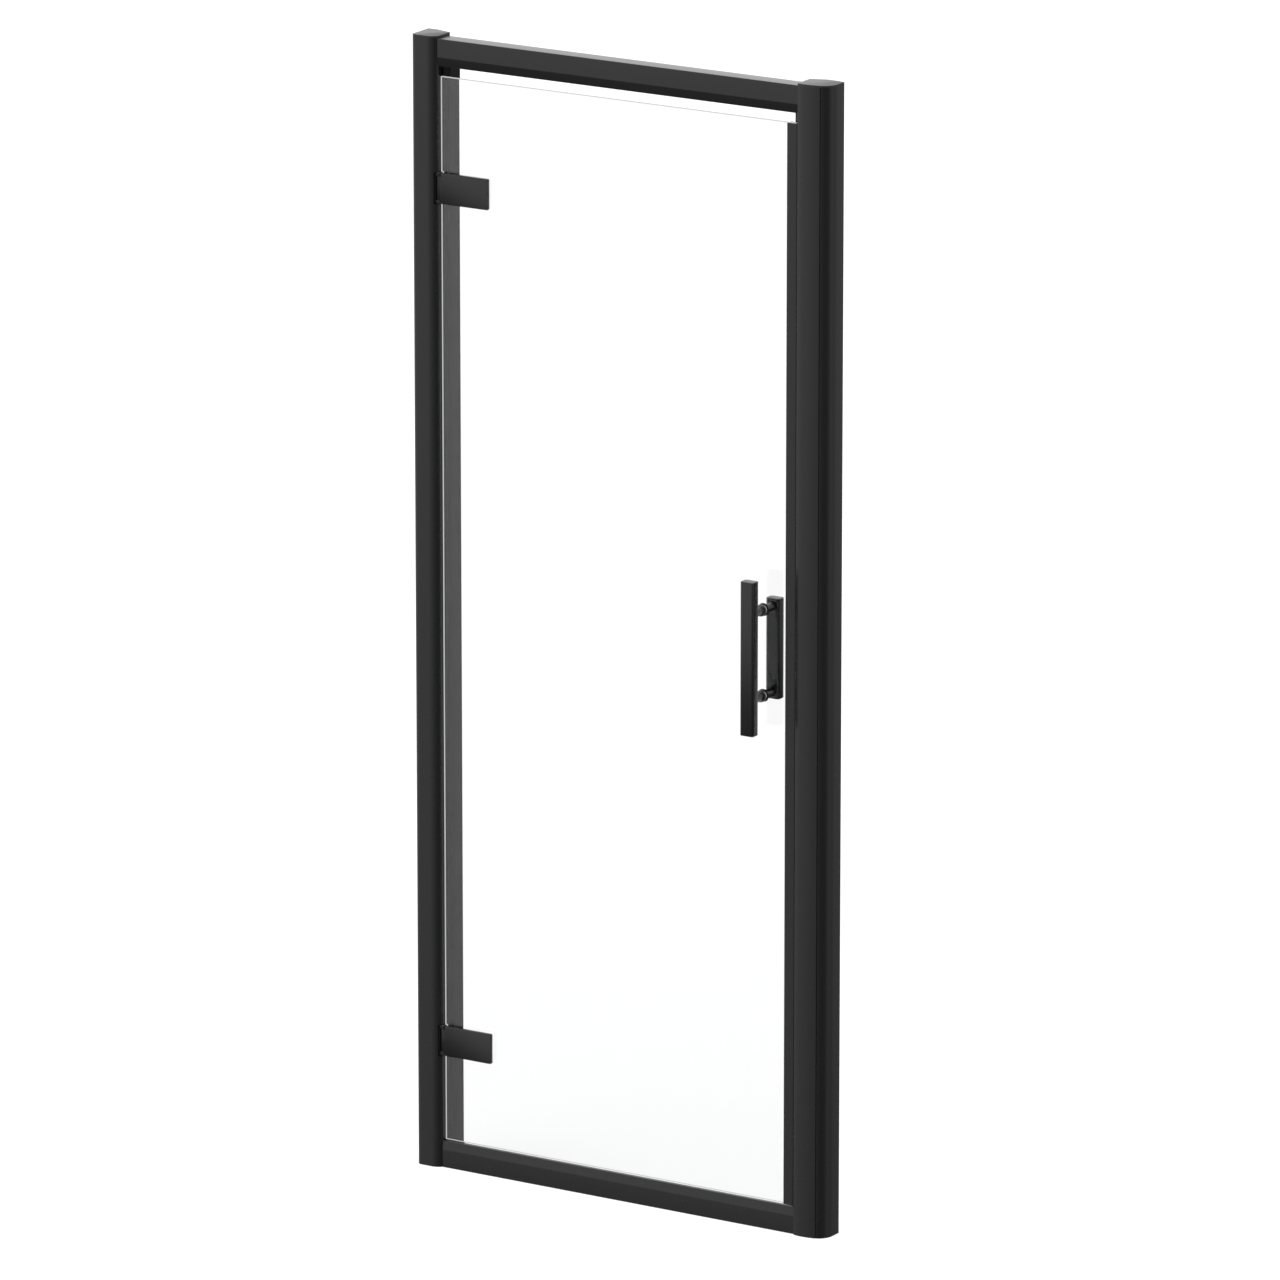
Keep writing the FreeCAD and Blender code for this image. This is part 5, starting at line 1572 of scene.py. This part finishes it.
class SHOWER_DOOR_OT_stage(bpy.types.Operator):
    """Lays the pale floor and sets up the soft light and the camera"""

    bl_idname = "shower_door.stage"
    bl_label = "Studio"

    def execute(self, context):
        studio = settings(context).studio
        scene = context.scene
        scene.view_settings.view_transform = "Standard"
        self.lay_floor(studio)
        self.light_room(scene, studio)
        self.place_camera(scene, studio)
        return {"FINISHED"}

    def lay_floor(self, studio):
        reach = studio.floor_reach
        corners = [(-reach, -reach, 0), (reach, -reach, 0), (reach, reach, 0), (-reach, reach, 0)]
        data = bpy.data.meshes.new("studio_floor")
        data.from_pydata(corners, [], [(0, 1, 2, 3)])
        constants = {
            "Base Color": studio.floor,
            "Roughness": FLOOR_ROUGHNESS,
            "Emission Color": (1, 1, 1, 1),
            "Emission Strength": studio.floor_glow,
        }
        new_material("studio_floor", constants)
        data.materials.append(bpy.data.materials["studio_floor"])
        floor = new_object("studio_floor", data)
        floor.visible_glossy = False

    def light_room(self, scene, studio):
        world = bpy.data.worlds.new("studio")
        world.use_nodes = True
        scene.world = world
        tree = world.node_tree
        tree.nodes.clear()
        place = result_of(tree, "ShaderNodeTexCoord", result="Generated")
        height = result_of(tree, "ShaderNodeSeparateXYZ", {0: place}, "Z")
        flat = self.vector_math(tree, "MULTIPLY", place, (1, 1, 0))
        way = self.vector_math(tree, "NORMALIZE", flat)
        low = self.patched(tree, way, 1.0, LOW_PATCHES)
        for fall in LOW_FALL:
            low = worked_out(tree, "MULTIPLY", low, ramp(tree, height, *fall))
        high = self.patched(tree, way, studio.room, HIGH_PATCHES)
        mirrored = self.mixed(tree, ramp(tree, height, *HORIZON), low, high)
        ray = add_node(tree, "ShaderNodeLightPath").outputs
        level = self.mixed(tree, ray["Is Glossy Ray"], studio.room, mirrored)
        level = self.mixed(tree, ray["Is Camera Ray"], level, 1.0)
        back = result_of(tree, "ShaderNodeBackground", {"Strength": level})
        add_node(tree, "ShaderNodeOutputWorld", {"Surface": back})

        lamp = bpy.data.lights.new("top_light", "SUN")
        lamp.energy = studio.sun
        lamp.angle = LAMP_WIDTH
        light = new_object("top_light", lamp)
        light.rotation_euler = Vector(LAMP_PLACE).to_track_quat("Z", "Y").to_euler()

    def vector_math(self, tree, operation, *vectors, result="Vector"):
        inputs = dict(enumerate(vectors))
        return result_of(tree, "ShaderNodeVectorMath", inputs, result, operation=operation)

    def mixed(self, tree, factor, first, second):
        levels = {"Factor": factor, "A": first, "B": second}
        return result_of(tree, "ShaderNodeMix", levels, "Result")

    def patched(self, tree, way, level, patches):
        """A level with patches of other levels in it, each towards an azimuth."""
        for azimuth, near, far, patch in patches:
            angle = math.radians(azimuth)
            middle = (math.cos(angle), math.sin(angle), 0)
            towards = self.vector_math(tree, "DOT_PRODUCT", way, middle, result="Value")
            level = self.mixed(tree, ramp(tree, towards, far, near), level, patch)
        return level

    def place_camera(self, scene, studio):
        lens = bpy.data.cameras.new("camera")
        lens.lens = studio.lens
        lens.sensor_width = SENSOR_WIDTH
        lens.clip_end = FARTHEST_SEEN
        camera = new_object("camera", lens)
        camera.location = studio.camera
        camera.rotation_euler = (math.pi / 2 - studio.pitch, 0, studio.azimuth)
        scene.camera = camera


class SHOWER_DOOR_PT_pieces(bpy.types.Panel):
    """Lists the steps that build the door"""

    bl_label = "Shower door"
    bl_idname = "SHOWER_DOOR_PT_pieces"
    bl_space_type = "VIEW_3D"
    bl_region_type = "UI"
    bl_category = "Shower door"

    def draw(self, context):
        column = self.layout.column()
        for step in STEPS:
            column.operator(step.bl_idname)


STEPS = (
    SHOWER_DOOR_OT_finishes,
    SHOWER_DOOR_OT_wall_channels,
    SHOWER_DOOR_OT_posts,
    SHOWER_DOOR_OT_post_caps,
    SHOWER_DOOR_OT_rails,
    SHOWER_DOOR_OT_stops,
    SHOWER_DOOR_OT_glass,
    SHOWER_DOOR_OT_closing_profile,
    SHOWER_DOOR_OT_hinge_brackets,
    SHOWER_DOOR_OT_hinge_plates,
    SHOWER_DOOR_OT_handle,
    SHOWER_DOOR_OT_screws,
    SHOWER_DOOR_OT_stage,
)
GROUPS = (
    PostSizes,
    ChannelSizes,
    RailSizes,
    StopSizes,
    LeafSizes,
    HingeSizes,
    HandleSizes,
    ScrewSizes,
    Finishes,
    StudioSettings,
    ShowerDoorSettings,
)


def register():
    for item in GROUPS + STEPS + (SHOWER_DOOR_PT_pieces,):
        bpy.utils.register_class(item)
    bpy.types.Scene.shower_door = bpy.props.PointerProperty(type=ShowerDoorSettings)


def unregister():
    del bpy.types.Scene.shower_door
    for item in reversed(GROUPS + STEPS + (SHOWER_DOOR_PT_pieces,)):
        bpy.utils.unregister_class(item)


def main():
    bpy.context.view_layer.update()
    register()
    for step in STEPS:
        group, name = step.bl_idname.split(".")
        getattr(getattr(bpy.ops, group), name)()


if __name__ == "__main__":
    main()
